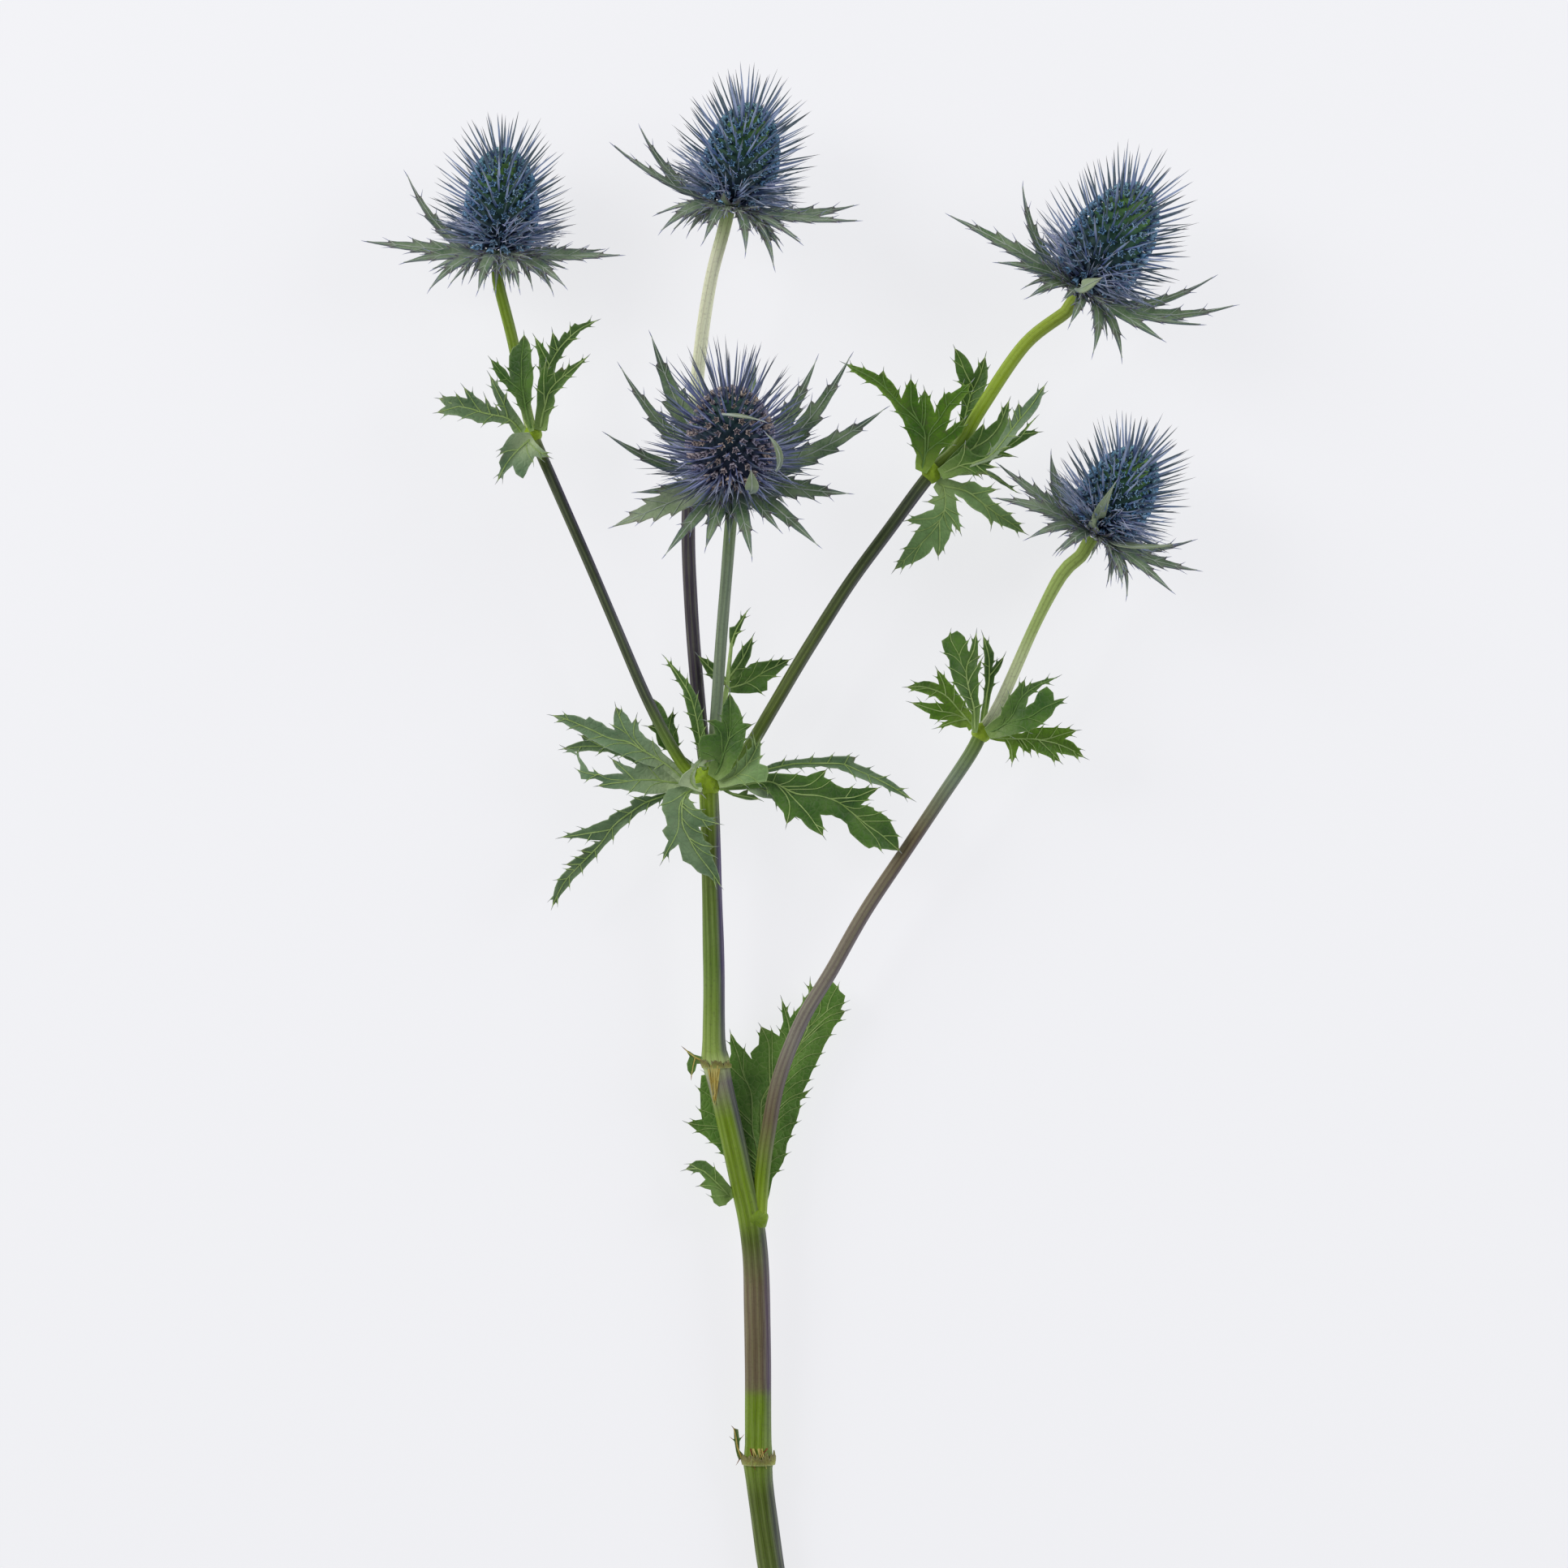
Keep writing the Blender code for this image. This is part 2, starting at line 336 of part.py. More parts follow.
def evaluated_mesh(piece):
    """The piece's mesh with its modifiers or its bevel applied."""
    bpy.context.view_layer.update()
    depsgraph = bpy.context.evaluated_depsgraph_get()
    return bpy.data.meshes.new_from_object(piece.evaluated_get(depsgraph))


def make_material(name, colour, roughness):
    """A plain Principled finish."""
    finish = bpy.data.materials.new(name)
    finish.use_nodes = True
    shader = finish.node_tree.nodes["Principled BSDF"]
    shader.inputs["Base Color"].default_value = (*colour, 1.0)
    shader.inputs["Roughness"].default_value = roughness
    shader.inputs["Metallic"].default_value = 0.0
    finish.diffuse_color = (*colour, 1.0)
    return finish


def tube(name, stations, resolution, collection):
    """A closed tube through stations of x, y, z and diameter, as a mesh object."""
    curve = bpy.data.curves.new(name, "CURVE")
    curve.dimensions = "3D"
    curve.bevel_depth = MM
    curve.bevel_resolution = resolution
    curve.use_fill_caps = True
    spline = curve.splines.new("POLY")
    spline.points.add(len(stations) - 1)
    for point, (x, y, z, diameter) in zip(spline.points, stations):
        point.co = (x * MM, y * MM, z * MM, 1.0)
        point.radius = diameter / 2
    guide = link(name, curve, collection)
    mesh = evaluated_mesh(guide)
    bpy.data.objects.remove(guide)
    bm = bmesh.new()
    bm.from_mesh(mesh)
    bmesh.ops.remove_doubles(bm, verts=bm.verts, dist=0.001 * MM)
    bmesh.ops.recalc_face_normals(bm, faces=bm.faces)
    bm.to_mesh(mesh)
    bm.free()
    return link(name, mesh, collection)


def swelling(name, centre, radius, collection):
    """A rounded node of the stem."""
    mesh = bpy.data.meshes.new(name)
    bm = bmesh.new()
    bmesh.ops.create_icosphere(bm, subdivisions=2, radius=radius * MM)
    bmesh.ops.translate(bm, verts=bm.verts, vec=Vector(centre) * MM)
    bm.to_mesh(mesh)
    bm.free()
    return link(name, mesh, collection)


def union(name, base, parts):
    """One closed mesh from a base object and a collection of parts, which are removed."""
    join = base.modifiers.new("union", "BOOLEAN")
    join.operation = "UNION"
    join.operand_type = "COLLECTION"
    join.collection = parts
    join.solver = "EXACT"
    mesh = evaluated_mesh(base)
    mesh.name = name
    for piece in [base] + list(parts.objects):
        bpy.data.objects.remove(piece)
    bpy.data.collections.remove(parts)
    return mesh


def blade(name, outline, cuts, place, collection):
    """A leaf or bract: a flat outline, cut where it bends, placed in space and thickened.

    Cuts are lines across the flat outline, each a point and a direction square to it.
    """
    curve = bpy.data.curves.new(name, "CURVE")
    curve.dimensions = "2D"
    curve.fill_mode = "BOTH"
    spline = curve.splines.new("POLY")
    spline.points.add(len(outline) - 1)
    for point, (x, y) in zip(spline.points, outline):
        point.co = (x, y, 0.0, 1.0)
    spline.use_cyclic_u = True
    guide = link(name, curve, collection)
    mesh = evaluated_mesh(guide)
    bpy.data.objects.remove(guide)
    bm = bmesh.new()
    bm.from_mesh(mesh)
    for point, square in cuts:
        geometry = bm.verts[:] + bm.edges[:] + bm.faces[:]
        bmesh.ops.bisect_plane(bm, geom=geometry, dist=0.05, plane_co=(*point, 0.0),
                               plane_no=(*square, 0.0))
    bmesh.ops.triangulate(bm, faces=bm.faces)
    for vert in bm.verts:
        vert.co = place(vert.co.x, vert.co.y) * MM
    bm.to_mesh(mesh)
    bm.free()
    piece = link(name, mesh, collection)
    wall = piece.modifiers.new("thickness", "SOLIDIFY")
    wall.thickness = BLADE_THICKNESS * MM
    wall.offset = 0.0
    return piece


def rib_cuts(start, tip, across):
    """Cuts along the rib and at even steps across it."""
    rib = tip - start
    cuts = [(tuple(start), (-rib.y, rib.x))]
    for step in range(1, across + 1):
        cuts.append((tuple(start + rib * step / (across + 1)), tuple(rib)))
    return cuts


def leaf_surface(origin, start, tip, height, rise, arch, fold, tilt):
    """Height over the table's plane: it rises, arches and folds along the rib."""
    rib = tip - start
    length = rib.length

    def place(x, y):
        offset = Vector((x, y)) - start
        share = offset.length / length
        along = offset.dot(rib) / length
        side = offset.cross(rib) / length
        bend = rise * share + arch * 4 * share * (1 - share)
        z = height + bend + fold * abs(side) * min(1.0, max(0.0, along / 4)) + tilt * side
        return Vector((origin.x + x, origin.y + y, z))

    return place


def seat_point(seat, direction):
    """Where a blade's middle meets a node with the shared gap."""
    centre, radius = NODES.get(seat) or PLAIN_SEATS[seat]
    reach = radius + GAP + BLADE_THICKNESS / 2
    return Vector(centre), Vector(direction).normalized() * reach


def leaf(name, spec, collection):
    """One leaf, seated on its node and outlined in the table's plane."""
    seat, direction, rise, arch, fold, tilt, outline = spec
    centre, reach = seat_point(seat, direction)
    start = reach.to_2d()
    tip = max((Vector(p) for p in outline), key=lambda p: (p - start).length)
    foot = Vector(outline[0]).lerp(Vector(outline[-1]), 0.5) - start
    side = Vector((-foot.y, foot.x)).normalized() * BASE_HALF_WIDTH
    if (Vector(outline[0]) - Vector(outline[-1])).dot(side) < 0:
        side = -side
    loop = [tuple(start + side)] + list(outline) + [tuple(start - side)]
    across = max(1, round((tip - start).length / LEAF_SPAN))
    place = leaf_surface(centre, start, tip, centre.z + reach.z, rise, arch, fold, tilt)
    return blade(name, loop, rib_cuts(start, tip, across), place, collection)


def shoot(name, collection):
    """The short leafy shoot in the fork, joined to one body."""
    parts = bpy.data.collections.new(name + "_parts")
    bpy.context.scene.collection.children.link(parts)
    centre = Vector(NODES["fork"][0])
    for number, (rise, outline) in enumerate(SHOOT_LEAVES):
        start = Vector(outline[0]).lerp(Vector(outline[1]), 0.5)
        tip = max((Vector(p) for p in outline), key=lambda p: (p - start).length)
        base_z = SHOOT_STEM[2][2] - 0.3 + 0.12 * number
        place = leaf_surface(centre, start, tip, base_z, rise, 0.0, 0.10, 0.0)
        blade(f"{name}_{number}", outline, rib_cuts(start, tip, 0), place, parts)
    base = tube(name + "_stem", SHOOT_STEM, 1, collection)
    return link(name, union(name, base, parts), collection)


def head_matrix(head):
    """The head's own axes in space: X front, Y right, Z along the head's axis."""
    collar, lean, lift = HEADS[head][:3]
    lean, lift = math.radians(lean), math.radians(lift)
    axis = Vector((math.sin(lean) * math.cos(lift), math.cos(lean) * math.cos(lift),
                   math.sin(lift)))
    right = Vector((math.cos(lean), -math.sin(lean), 0.0))
    front = right.cross(axis)
    turn = Matrix((front, right, axis)).transposed().to_4x4()
    return Matrix.Translation(collar) @ turn


def bract(name, spec, matrix, collection):
    """One bract: it leaves the collar square to the axis and bends to its tip."""
    right, front, along, width, spines = spec
    tip = Vector((front, right, along))
    outward = Vector((front, right, 0.0)).normalized()
    root = outward * (COLLAR_RADIUS - BRACT_SUNK) + Vector((0.0, 0.0, COLLAR_HEIGHT / 2))
    bend = root + outward * (tip - root).length * 0.45
    length = (bend - root).length + (tip - bend).length
    edge = BRACT_EDGES[spines]
    outline = [(width / 2 * x, length * y) for y, x in edge] + [(0.0, length)]
    outline += [(-width / 2 * x, length * (y + 0.03)) for y, x in reversed(edge[1:])]
    outline.append((-width / 2 * edge[0][1], 0.0))
    cuts = [((0.0, length * 0.22), (0.0, 1.0))]
    if spines > 1:
        cuts.append(((0.0, length * 0.50), (0.0, 1.0)))

    def place(x, y):
        t = y / length
        point = root.lerp(bend, t).lerp(bend.lerp(tip, t), t)
        tangent = (bend - root).lerp(tip - bend, t).normalized()
        side = tangent.cross(Vector((0.0, 0.0, 1.0))).normalized()
        up = side.cross(tangent)
        return matrix @ (point + side * x + up * abs(x) * BRACT_FOLD)

    return blade(name, outline, cuts, place, collection)


def ruff(head, collection):
    """The collar disc under a cone with its ring of bracts, joined to one body."""
    name = "ruff_" + head
    matrix = head_matrix(head)
    mesh = bpy.data.meshes.new(name)
    bm = bmesh.new()
    bmesh.ops.create_cone(bm, cap_ends=True, segments=12, radius1=COLLAR_RADIUS - COLLAR_DRAFT,
                          radius2=COLLAR_RADIUS, depth=COLLAR_HEIGHT)
    bmesh.ops.translate(bm, verts=bm.verts, vec=(0.0, 0.0, COLLAR_HEIGHT / 2))
    for vert in bm.verts:
        vert.co = (matrix @ vert.co) * MM
    bm.to_mesh(mesh)
    bm.free()
    parts = bpy.data.collections.new(name + "_parts")
    bpy.context.scene.collection.children.link(parts)
    for number, spec in enumerate(RUFFS[head]):
        bract(f"{name}_{number}", spec, matrix, parts)
    base = link(name + "_disc", mesh, collection)
    return link(name, union(name, base, parts), collection)


def egg_point(number, count, width, height):
    """One of a spiral of points spread evenly over the egg-shaped cone."""
    level = 1 - 2 * (number + 0.5) / count
    angle = number * 2 * math.pi * GOLDEN
    radius = width / 2 * math.sqrt(1 - level ** 2) * (1 - APEX_NARROWING * level)
    base = COLLAR_HEIGHT + GAP
    z = base + (height - base) * (1 + level) / 2
    return Vector((radius * math.cos(angle), radius * math.sin(angle), z))


def needle_is_clear(root, tip, matrix, ruff_tree):
    """True where a needle keeps clear of the ruff all along its length."""
    for step in range(13):
        share = step / 12
        point = (matrix @ root.lerp(tip, share)) * MM
        room = (NEEDLE_ROOT * (1.4 - share) + GAP) * MM
        if ruff_tree.find_nearest(point, room)[0] is not None:
            return False
    return True


def cone(head, ruff_piece, collection):
    """The egg-shaped cone: florets as relief and a needle between each three florets."""
    name = "cone_" + head
    matrix = head_matrix(head)
    width, height, needle, florets = HEADS[head][3:]
    ruff_mesh = bmesh.new()
    ruff_mesh.from_mesh(ruff_piece.data)
    ruff_tree = BVHTree.FromBMesh(ruff_mesh)
    bm = bmesh.new()
    for number in range(florets):
        bm.verts.new(egg_point(number, florets, width, height))
    bmesh.ops.convex_hull(bm, input=bm.verts)
    bmesh.ops.recalc_face_normals(bm, faces=bm.faces)
    plan = []
    for number, face in enumerate(sorted(bm.faces, key=lambda f: f.calc_center_median().z)):
        centre = face.calc_center_median()
        root = centre - face.normal * FLORET_RELIEF
        length = needle * (NEEDLE_SHORTEST + NEEDLE_SPREAD * (number * GOLDEN % 1))
        lean = (face.normal + Vector((0.0, 0.0, TIP_LEAN))).normalized()
        tip = centre + lean * length
        if centre.z > COLLAR_HEIGHT + NEEDLE_FREE and needle_is_clear(root, tip, matrix, ruff_tree):
            plan.append((face, root, tip))
    faces = [face for face, root, tip in plan]
    bmesh.ops.inset_individual(bm, faces=faces, thickness=0.1)
    for face, root, tip in plan:
        for vert in face.verts:
            spoke = vert.co - face.calc_center_median()
            vert.co = root + spoke.normalized() * NEEDLE_ROOT
        bmesh.ops.poke(bm, faces=[face])["verts"][0].co = tip
    for vert in bm.verts:
        vert.co = (matrix @ vert.co) * MM
    mesh = bpy.data.meshes.new(name)
    bm.to_mesh(mesh)
    bm.free()
    ruff_mesh.free()
    return link(name, mesh, collection)


def stalk_to_collar(route, head):
    """A stalk's route, ended square against the underside of its head's collar disc."""
    matrix = head_matrix(head)
    diameter = route[-1][3]
    reach = GAP + 0.1
    last = [(*(matrix @ Vector((0.0, 0.0, -back))), diameter) for back in (6.0, 3.0, reach)]
    return list(route) + last


def stem(collection):
    """The main stem with its nodes, side branch and stalks, grown as one body."""
    parts = bpy.data.collections.new("stem_parts")
    bpy.context.scene.collection.children.link(parts)
    tube("side_branch", stalk_to_collar(SIDE_BRANCH, "low"), 2, parts)
    tube("left_stalk", stalk_to_collar(LEFT_STALK, "left"), 2, parts)
    tube("back_stalk", stalk_to_collar(BACK_STALK, "top"), 2, parts)
    tube("front_stalk", stalk_to_collar(FRONT_STALK, "front"), 2, parts)
    tube("right_stalk", stalk_to_collar(RIGHT_STALK, "right"), 2, parts)
    for name, (centre, radius) in NODES.items():
        swelling("node_" + name, centre, radius, parts)
    base = tube("main_stem", MAIN_STEM, 3, collection)
    return link("stem", union("stem", base, parts), collection)


def main():
    for old in list(bpy.data.objects):
        bpy.data.objects.remove(old)
    collection = bpy.data.collections.new(COLLECTION)
    bpy.context.scene.collection.children.link(collection)
    stem_green = make_material("stem_green", (0.20, 0.28, 0.09), 0.55)
    leaf_green = make_material("leaf_green", (0.09, 0.20, 0.06), 0.60)
    bract_green = make_material("bract_green", (0.22, 0.30, 0.20), 0.60)
    cone_blue = make_material("cone_blue", (0.10, 0.15, 0.33), 0.65)
    torn_tan = make_material("torn_tan", (0.42, 0.33, 0.12), 0.75)

    stem(collection).data.materials.append(stem_green)
    for name, spec in LEAVES.items():
        finish = torn_tan if name.startswith("torn") else leaf_green
        leaf(name, spec, collection).data.materials.append(finish)
    shoot("fork_shoot", collection).data.materials.append(leaf_green)
    for head in HEADS:
        ruff_piece = ruff(head, collection)
        ruff_piece.data.materials.append(bract_green)
        cone(head, ruff_piece, collection).data.materials.append(cone_blue)


main()
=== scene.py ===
# %% [markdown]
# # A cut stem of sea holly
# Sea holly is a stiff, thistle-like plant. One cut stem forks into five stalks, and each
# stalk carries an egg-shaped blue cone that stands in a ruff of spiny bracts. Whorls of
# cut, spiny leaves sit where the stem forks. This lesson dresses a plain solid model of
# such a stem: every solid is replaced by a finer piece that keeps its place and form.

# %% Load the solid model
import heapq
import math
import random

import bmesh
import bpy
import numpy as np
from mathutils import Matrix, Vector, noise
from mathutils.kdtree import KDTree


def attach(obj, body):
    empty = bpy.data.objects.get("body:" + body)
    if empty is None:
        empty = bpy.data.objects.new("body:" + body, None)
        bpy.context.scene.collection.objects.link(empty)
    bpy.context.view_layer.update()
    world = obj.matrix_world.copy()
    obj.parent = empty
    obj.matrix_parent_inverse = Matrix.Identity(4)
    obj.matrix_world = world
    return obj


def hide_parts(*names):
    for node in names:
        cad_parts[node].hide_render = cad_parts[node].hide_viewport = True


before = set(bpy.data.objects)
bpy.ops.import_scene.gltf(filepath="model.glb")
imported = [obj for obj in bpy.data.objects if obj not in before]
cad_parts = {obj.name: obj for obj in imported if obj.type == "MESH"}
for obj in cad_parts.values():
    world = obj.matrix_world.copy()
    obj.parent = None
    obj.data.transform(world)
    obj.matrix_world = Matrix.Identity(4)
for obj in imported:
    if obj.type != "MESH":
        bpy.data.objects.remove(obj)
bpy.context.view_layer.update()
MM = 0.001

# %% [markdown]
# ## Camera, floor and light
# The stem lies on a pale floor and the camera looks straight down on it, from far enough
# that the heads aren't seen from the side. A long lens keeps the picture flat. A plant
# looks crisp when the light comes from its sides: two large soft lamps stand low at its
# left and right, and the sky is bright near the floor and dimmer overhead.

# %% Camera
CAMERA_PLACE = (-0.0042, 0.0155, 1.538)
CAMERA_LENS = 135.0
camera_data = bpy.data.cameras.new("overhead")
camera_data.lens = CAMERA_LENS
camera_data.sensor_width = 36.0
camera_data.clip_end = 20.0
camera = bpy.data.objects.new("overhead", camera_data)
camera.location = CAMERA_PLACE
bpy.context.scene.collection.objects.link(camera)
bpy.context.scene.camera = camera
bpy.context.scene.view_settings.view_transform = "Standard"
print("camera", CAMERA_PLACE, "lens", CAMERA_LENS)


# %% [markdown]
# Every finish below is a small tree of shader nodes. A few short helpers add a node with its
# settings, mix two colours or read a number from the mesh, so a finish reads like a recipe.


# %% Helpers for colours, nodes and meshes
def paint(code):
    """A linear colour from six sRGB digits."""
    shares = [int(code[k:k + 2], 16) / 255 for k in (0, 2, 4)]
    linear = [c / 12.92 if c < 0.04045 else ((c + 0.055) / 1.055) ** 2.4 for c in shares]
    return (*linear, 1.0)


def put(tree, kind, inputs=None, **settings):
    """A node with its settings. Each input is linked from a socket or set to a value."""
    made = tree.nodes.new(kind)
    for name, value in settings.items():
        setattr(made, name, value)
    for name, value in (inputs or {}).items():
        if isinstance(value, bpy.types.NodeSocket):
            tree.links.new(value, made.inputs[name])
        else:
            made.inputs[name].default_value = value
    return made


def mix(tree, factor, first, second, blend="MIX"):
    """A mix of two colours."""
    made = put(tree, "ShaderNodeMix", {0: factor, 6: first, 7: second}, data_type="RGBA",
               blend_type=blend)
    return made.outputs[2]


def spread(tree, value, low, high, start=0.0, end=1.0):
    """A value taken from one range to another, and held inside it."""
    made = put(tree, "ShaderNodeMapRange", {"Value": value, "From Min": low, "From Max": high,
                                            "To Min": start, "To Max": end})
    return made.outputs["Result"]


def maths(tree, operation, first, second=0.0):
    """One sum on one or two values."""
    return put(tree, "ShaderNodeMath", {0: first, 1: second}, operation=operation).outputs[0]


def reading(tree, name):
    """A number that the mesh carries at each vertex."""
    return put(tree, "ShaderNodeAttribute", attribute_name=name).outputs["Fac"]


def ramp(tree, factor, stops):
    """Colours along a ramp, each at its place."""
    made = put(tree, "ShaderNodeValToRGB", {"Fac": factor})
    elements = made.color_ramp.elements
    elements[0].position = stops[0][0]
    elements[-1].position = stops[-1][0]
    for place, colour in stops[1:-1]:
        elements.new(place)
    for element, (place, colour) in zip(elements, stops):
        element.color = colour
    return made.outputs["Color"]


def wash(tree, colour, mask, strength, code):
    """A colour with another one laid over it where a mask is high."""
    return mix(tree, maths(tree, "MULTIPLY", mask, strength), colour, paint(code))


def new_material(name):
    """A material with its shader, ready for colours."""
    made = bpy.data.materials.new(name)
    made.use_nodes = True
    return made, made.node_tree, made.node_tree.nodes["Principled BSDF"]


def mesh_of(bm, name):
    """The mesh that a bmesh describes. The bmesh is freed."""
    mesh = bpy.data.meshes.new(name)
    bm.to_mesh(mesh)
    bm.free()
    return mesh


print("helpers ready")


# %% [markdown]
# The floor isn't part of the plant. A big grid of one face is
# enough. It glows a little, as a light table does, which keeps it pale and its shadows
# mild, and lights the plant's edges from below.

# %% Floor and lamps
FLOOR_REACH = 6.0           # metres from the middle to each side
FLOOR_DROP = 0.0001         # the floor lies just under the stem
FLOOR_GLOW = 0.80
LAMP_SIDE = 0.7
SKY_STRENGTH = 0.8
floor_bm = bmesh.new()
bmesh.ops.create_grid(floor_bm, x_segments=1, y_segments=1, size=FLOOR_REACH)
floor = bpy.data.objects.new("floor", mesh_of(floor_bm, "floor"))
floor.location.z = -FLOOR_DROP
bpy.context.scene.collection.objects.link(floor)
floor_finish, tree, floor_shader = new_material("pale_floor")
floor_shader.inputs["Base Color"].default_value = paint("7c7c80")
floor_shader.inputs["Roughness"].default_value = 0.9
floor_shader.inputs["Specular IOR Level"].default_value = 0.0
floor_shader.inputs["Emission Color"].default_value = paint("f8f8fa")
floor_shader.inputs["Emission Strength"].default_value = FLOOR_GLOW
floor.data.materials.append(floor_finish)


def lamp(name, place, power, colour):
    """A square area lamp aimed at the middle of the stem."""
    data = bpy.data.lights.new(name, "AREA")
    data.size = LAMP_SIDE
    data.energy = power
    data.color = colour
    made = bpy.data.objects.new(name, data)
    made.location = place
    made.rotation_euler = (-Vector(place)).to_track_quat("-Z", "Y").to_euler()
    bpy.context.scene.collection.objects.link(made)


lamp("left", (-1.1, 0.65, 0.75), 9.5, (1.0, 0.99, 0.97))
lamp("right", (1.15, 0.50, 0.70), 6.5, (0.98, 0.99, 1.0))
SKY = [(0.0, paint("e8ebf2")), (0.45, paint("b4b8c2")), (1.0, paint("73767f"))]
sky = bpy.data.worlds.new("sky")
sky.use_nodes = True
sky_tree = sky.node_tree
direction = put(sky_tree, "ShaderNodeTexCoord").outputs["Generated"]
rise = put(sky_tree, "ShaderNodeSeparateXYZ", {0: direction}).outputs["Z"]
sky_tree.links.new(ramp(sky_tree, rise, SKY), sky_tree.nodes["Background"].inputs["Color"])
sky_tree.nodes["Background"].inputs["Strength"].default_value = SKY_STRENGTH
bpy.context.scene.world = sky
print("lamps and sky ready")

# %% [markdown]
# ## Shared effects
# Plant surfaces vary softly from place to place, so several finishes need the same cloudy
# mask. Leaves and bracts also share a net of fine veins, with the green cells standing up
# a little between them, and stems share fine streaks that run along them. Each effect is a
# node group, built once and placed with its own values.


# %% Node groups
def new_group(name, inputs, outputs):
    """An empty node group with named sockets, and its input and output nodes."""
    tree = bpy.data.node_groups.new(name, "ShaderNodeTree")
    for label, value in inputs.items():
        tree.interface.new_socket(label, in_out="INPUT", socket_type="NodeSocketFloat")
        tree.interface.items_tree[label].default_value = value
    for label in outputs:
        tree.interface.new_socket(label, in_out="OUTPUT", socket_type="NodeSocketFloat")
    return tree, tree.nodes.new("NodeGroupInput"), tree.nodes.new("NodeGroupOutput")


cloud_group, given, result = new_group("cloud", {"Scale": 200.0, "Sharpness": 0.2}, ["Mask"])
place = put(cloud_group, "ShaderNodeTexCoord").outputs["Object"]
clouds = put(cloud_group, "ShaderNodeTexNoise", {"Vector": place, "Scale": given.outputs["Scale"],
                                                 "Detail": 4.0})
low = maths(cloud_group, "SUBTRACT", 0.5, given.outputs["Sharpness"])
high = maths(cloud_group, "ADD", 0.5, given.outputs["Sharpness"])
cloud_group.links.new(spread(cloud_group, clouds.outputs["Fac"], low, high), result.inputs["Mask"])

net_group, given, result = new_group("vein_net", {"Scale": 420.0, "Line": 0.07},
                                     ["Mask", "Height"])
place = put(net_group, "ShaderNodeTexCoord").outputs["Object"]
shift = put(net_group, "ShaderNodeTexNoise", {"Vector": place, "Scale": 260.0})
bend = put(net_group, "ShaderNodeVectorMath", {0: shift.outputs["Color"], 1: (0.0022,) * 3},
           operation="MULTIPLY")
bent = put(net_group, "ShaderNodeVectorMath", {0: place, 1: bend.outputs[0]}, operation="ADD")
cells = put(net_group, "ShaderNodeTexVoronoi",
            {"Vector": bent.outputs[0], "Scale": given.outputs["Scale"]},
            feature="DISTANCE_TO_EDGE")
net_line = spread(net_group, cells.outputs["Distance"], 0.0, given.outputs["Line"], 1.0, 0.0)
net_group.links.new(net_line, result.inputs["Mask"])
cushion = spread(net_group, cells.outputs["Distance"], 0.0, 0.3)
net_group.links.new(cushion, result.inputs["Height"])

streak_group, given, result = new_group("streaks", {"Turns": 9.0, "Run": 0.05}, ["Mask"])
round_stem = maths(streak_group, "MULTIPLY", reading(streak_group, "around"),
                   given.outputs["Turns"])
down_stem = maths(streak_group, "MULTIPLY", reading(streak_group, "along"), given.outputs["Run"])
sheet = put(streak_group, "ShaderNodeCombineXYZ", {"X": round_stem, "Y": down_stem})
streaks = put(streak_group, "ShaderNodeTexNoise", {"Vector": sheet.outputs[0], "Scale": 1.0,
                                                   "Detail": 3.0})
streak_mask = spread(streak_group, streaks.outputs["Fac"], 0.3, 0.7)
streak_group.links.new(streak_mask, result.inputs["Mask"])
print("node groups:", [g.name for g in bpy.data.node_groups])


def effect(tree, group, **values):
    """A shared effect placed in a material with its own values."""
    made = tree.nodes.new("ShaderNodeGroup")
    made.node_tree = group
    for name, value in values.items():
        made.inputs[name].default_value = value
    return made.outputs


def patches(tree, scale, sharpness):
    """The cloudy mask, at a scale and sharpness."""
    return effect(tree, cloud_group, Scale=scale, Sharpness=sharpness)["Mask"]


def finish_with(tree, shader, colour, roughness, height, strength, distance):
    """Feed a shader with its colour, roughness and relief."""
    tree.links.new(colour, shader.inputs["Base Color"])
    tree.links.new(roughness, shader.inputs["Roughness"])
    bump = put(tree, "ShaderNodeBump", {"Height": height, "Strength": strength,
                                        "Distance": distance})
    tree.links.new(bump.outputs[0], shader.inputs["Normal"])


# %% [markdown]
# ## Finishes
# A leaf is dark green with paler patches, a pale fine net, a pale rim and a yellow-green
# foot. Bracts are greyer and turn violet at the margin and the tip. The main veins are
# modelled, and take a pale finish of their own, as do the hair-like spines.


# %% Leaf and bract finishes
def leaf_finish(name, dark, light, foot, rim, net, net_scale):
    """A blade's finish. The mesh carries edge, foot and tip as numbers from 0 to 1."""
    made, tree, shader = new_material(name)
    cloud = patches(tree, 120.0, 0.18)
    specks = patches(tree, 900.0, 0.25)
    veins = effect(tree, net_group, Scale=net_scale, Line=0.05)
    colour = mix(tree, cloud, paint(dark), paint(light))
    colour = wash(tree, colour, specks, 0.14, net)
    colour = wash(tree, colour, reading(tree, "rib"), 0.22, net)
    colour = wash(tree, colour, veins["Mask"], 0.45, net)
    lower = maths(tree, "POWER", reading(tree, "foot"), 1.5)
    colour = wash(tree, colour, lower, 0.85, foot)
    edge = maths(tree, "POWER", reading(tree, "edge"), 3.0)
    colour = wash(tree, colour, edge, 0.45, rim)
    colour = wash(tree, colour, reading(tree, "tip"), 0.7, "6b5240")
    roughness = spread(tree, cloud, 0.0, 1.0, 0.42, 0.6)
    finish_with(tree, shader, colour, roughness, veins["Height"], 0.35, 0.0003)
    shader.inputs["Specular IOR Level"].default_value = 0.25
    return made


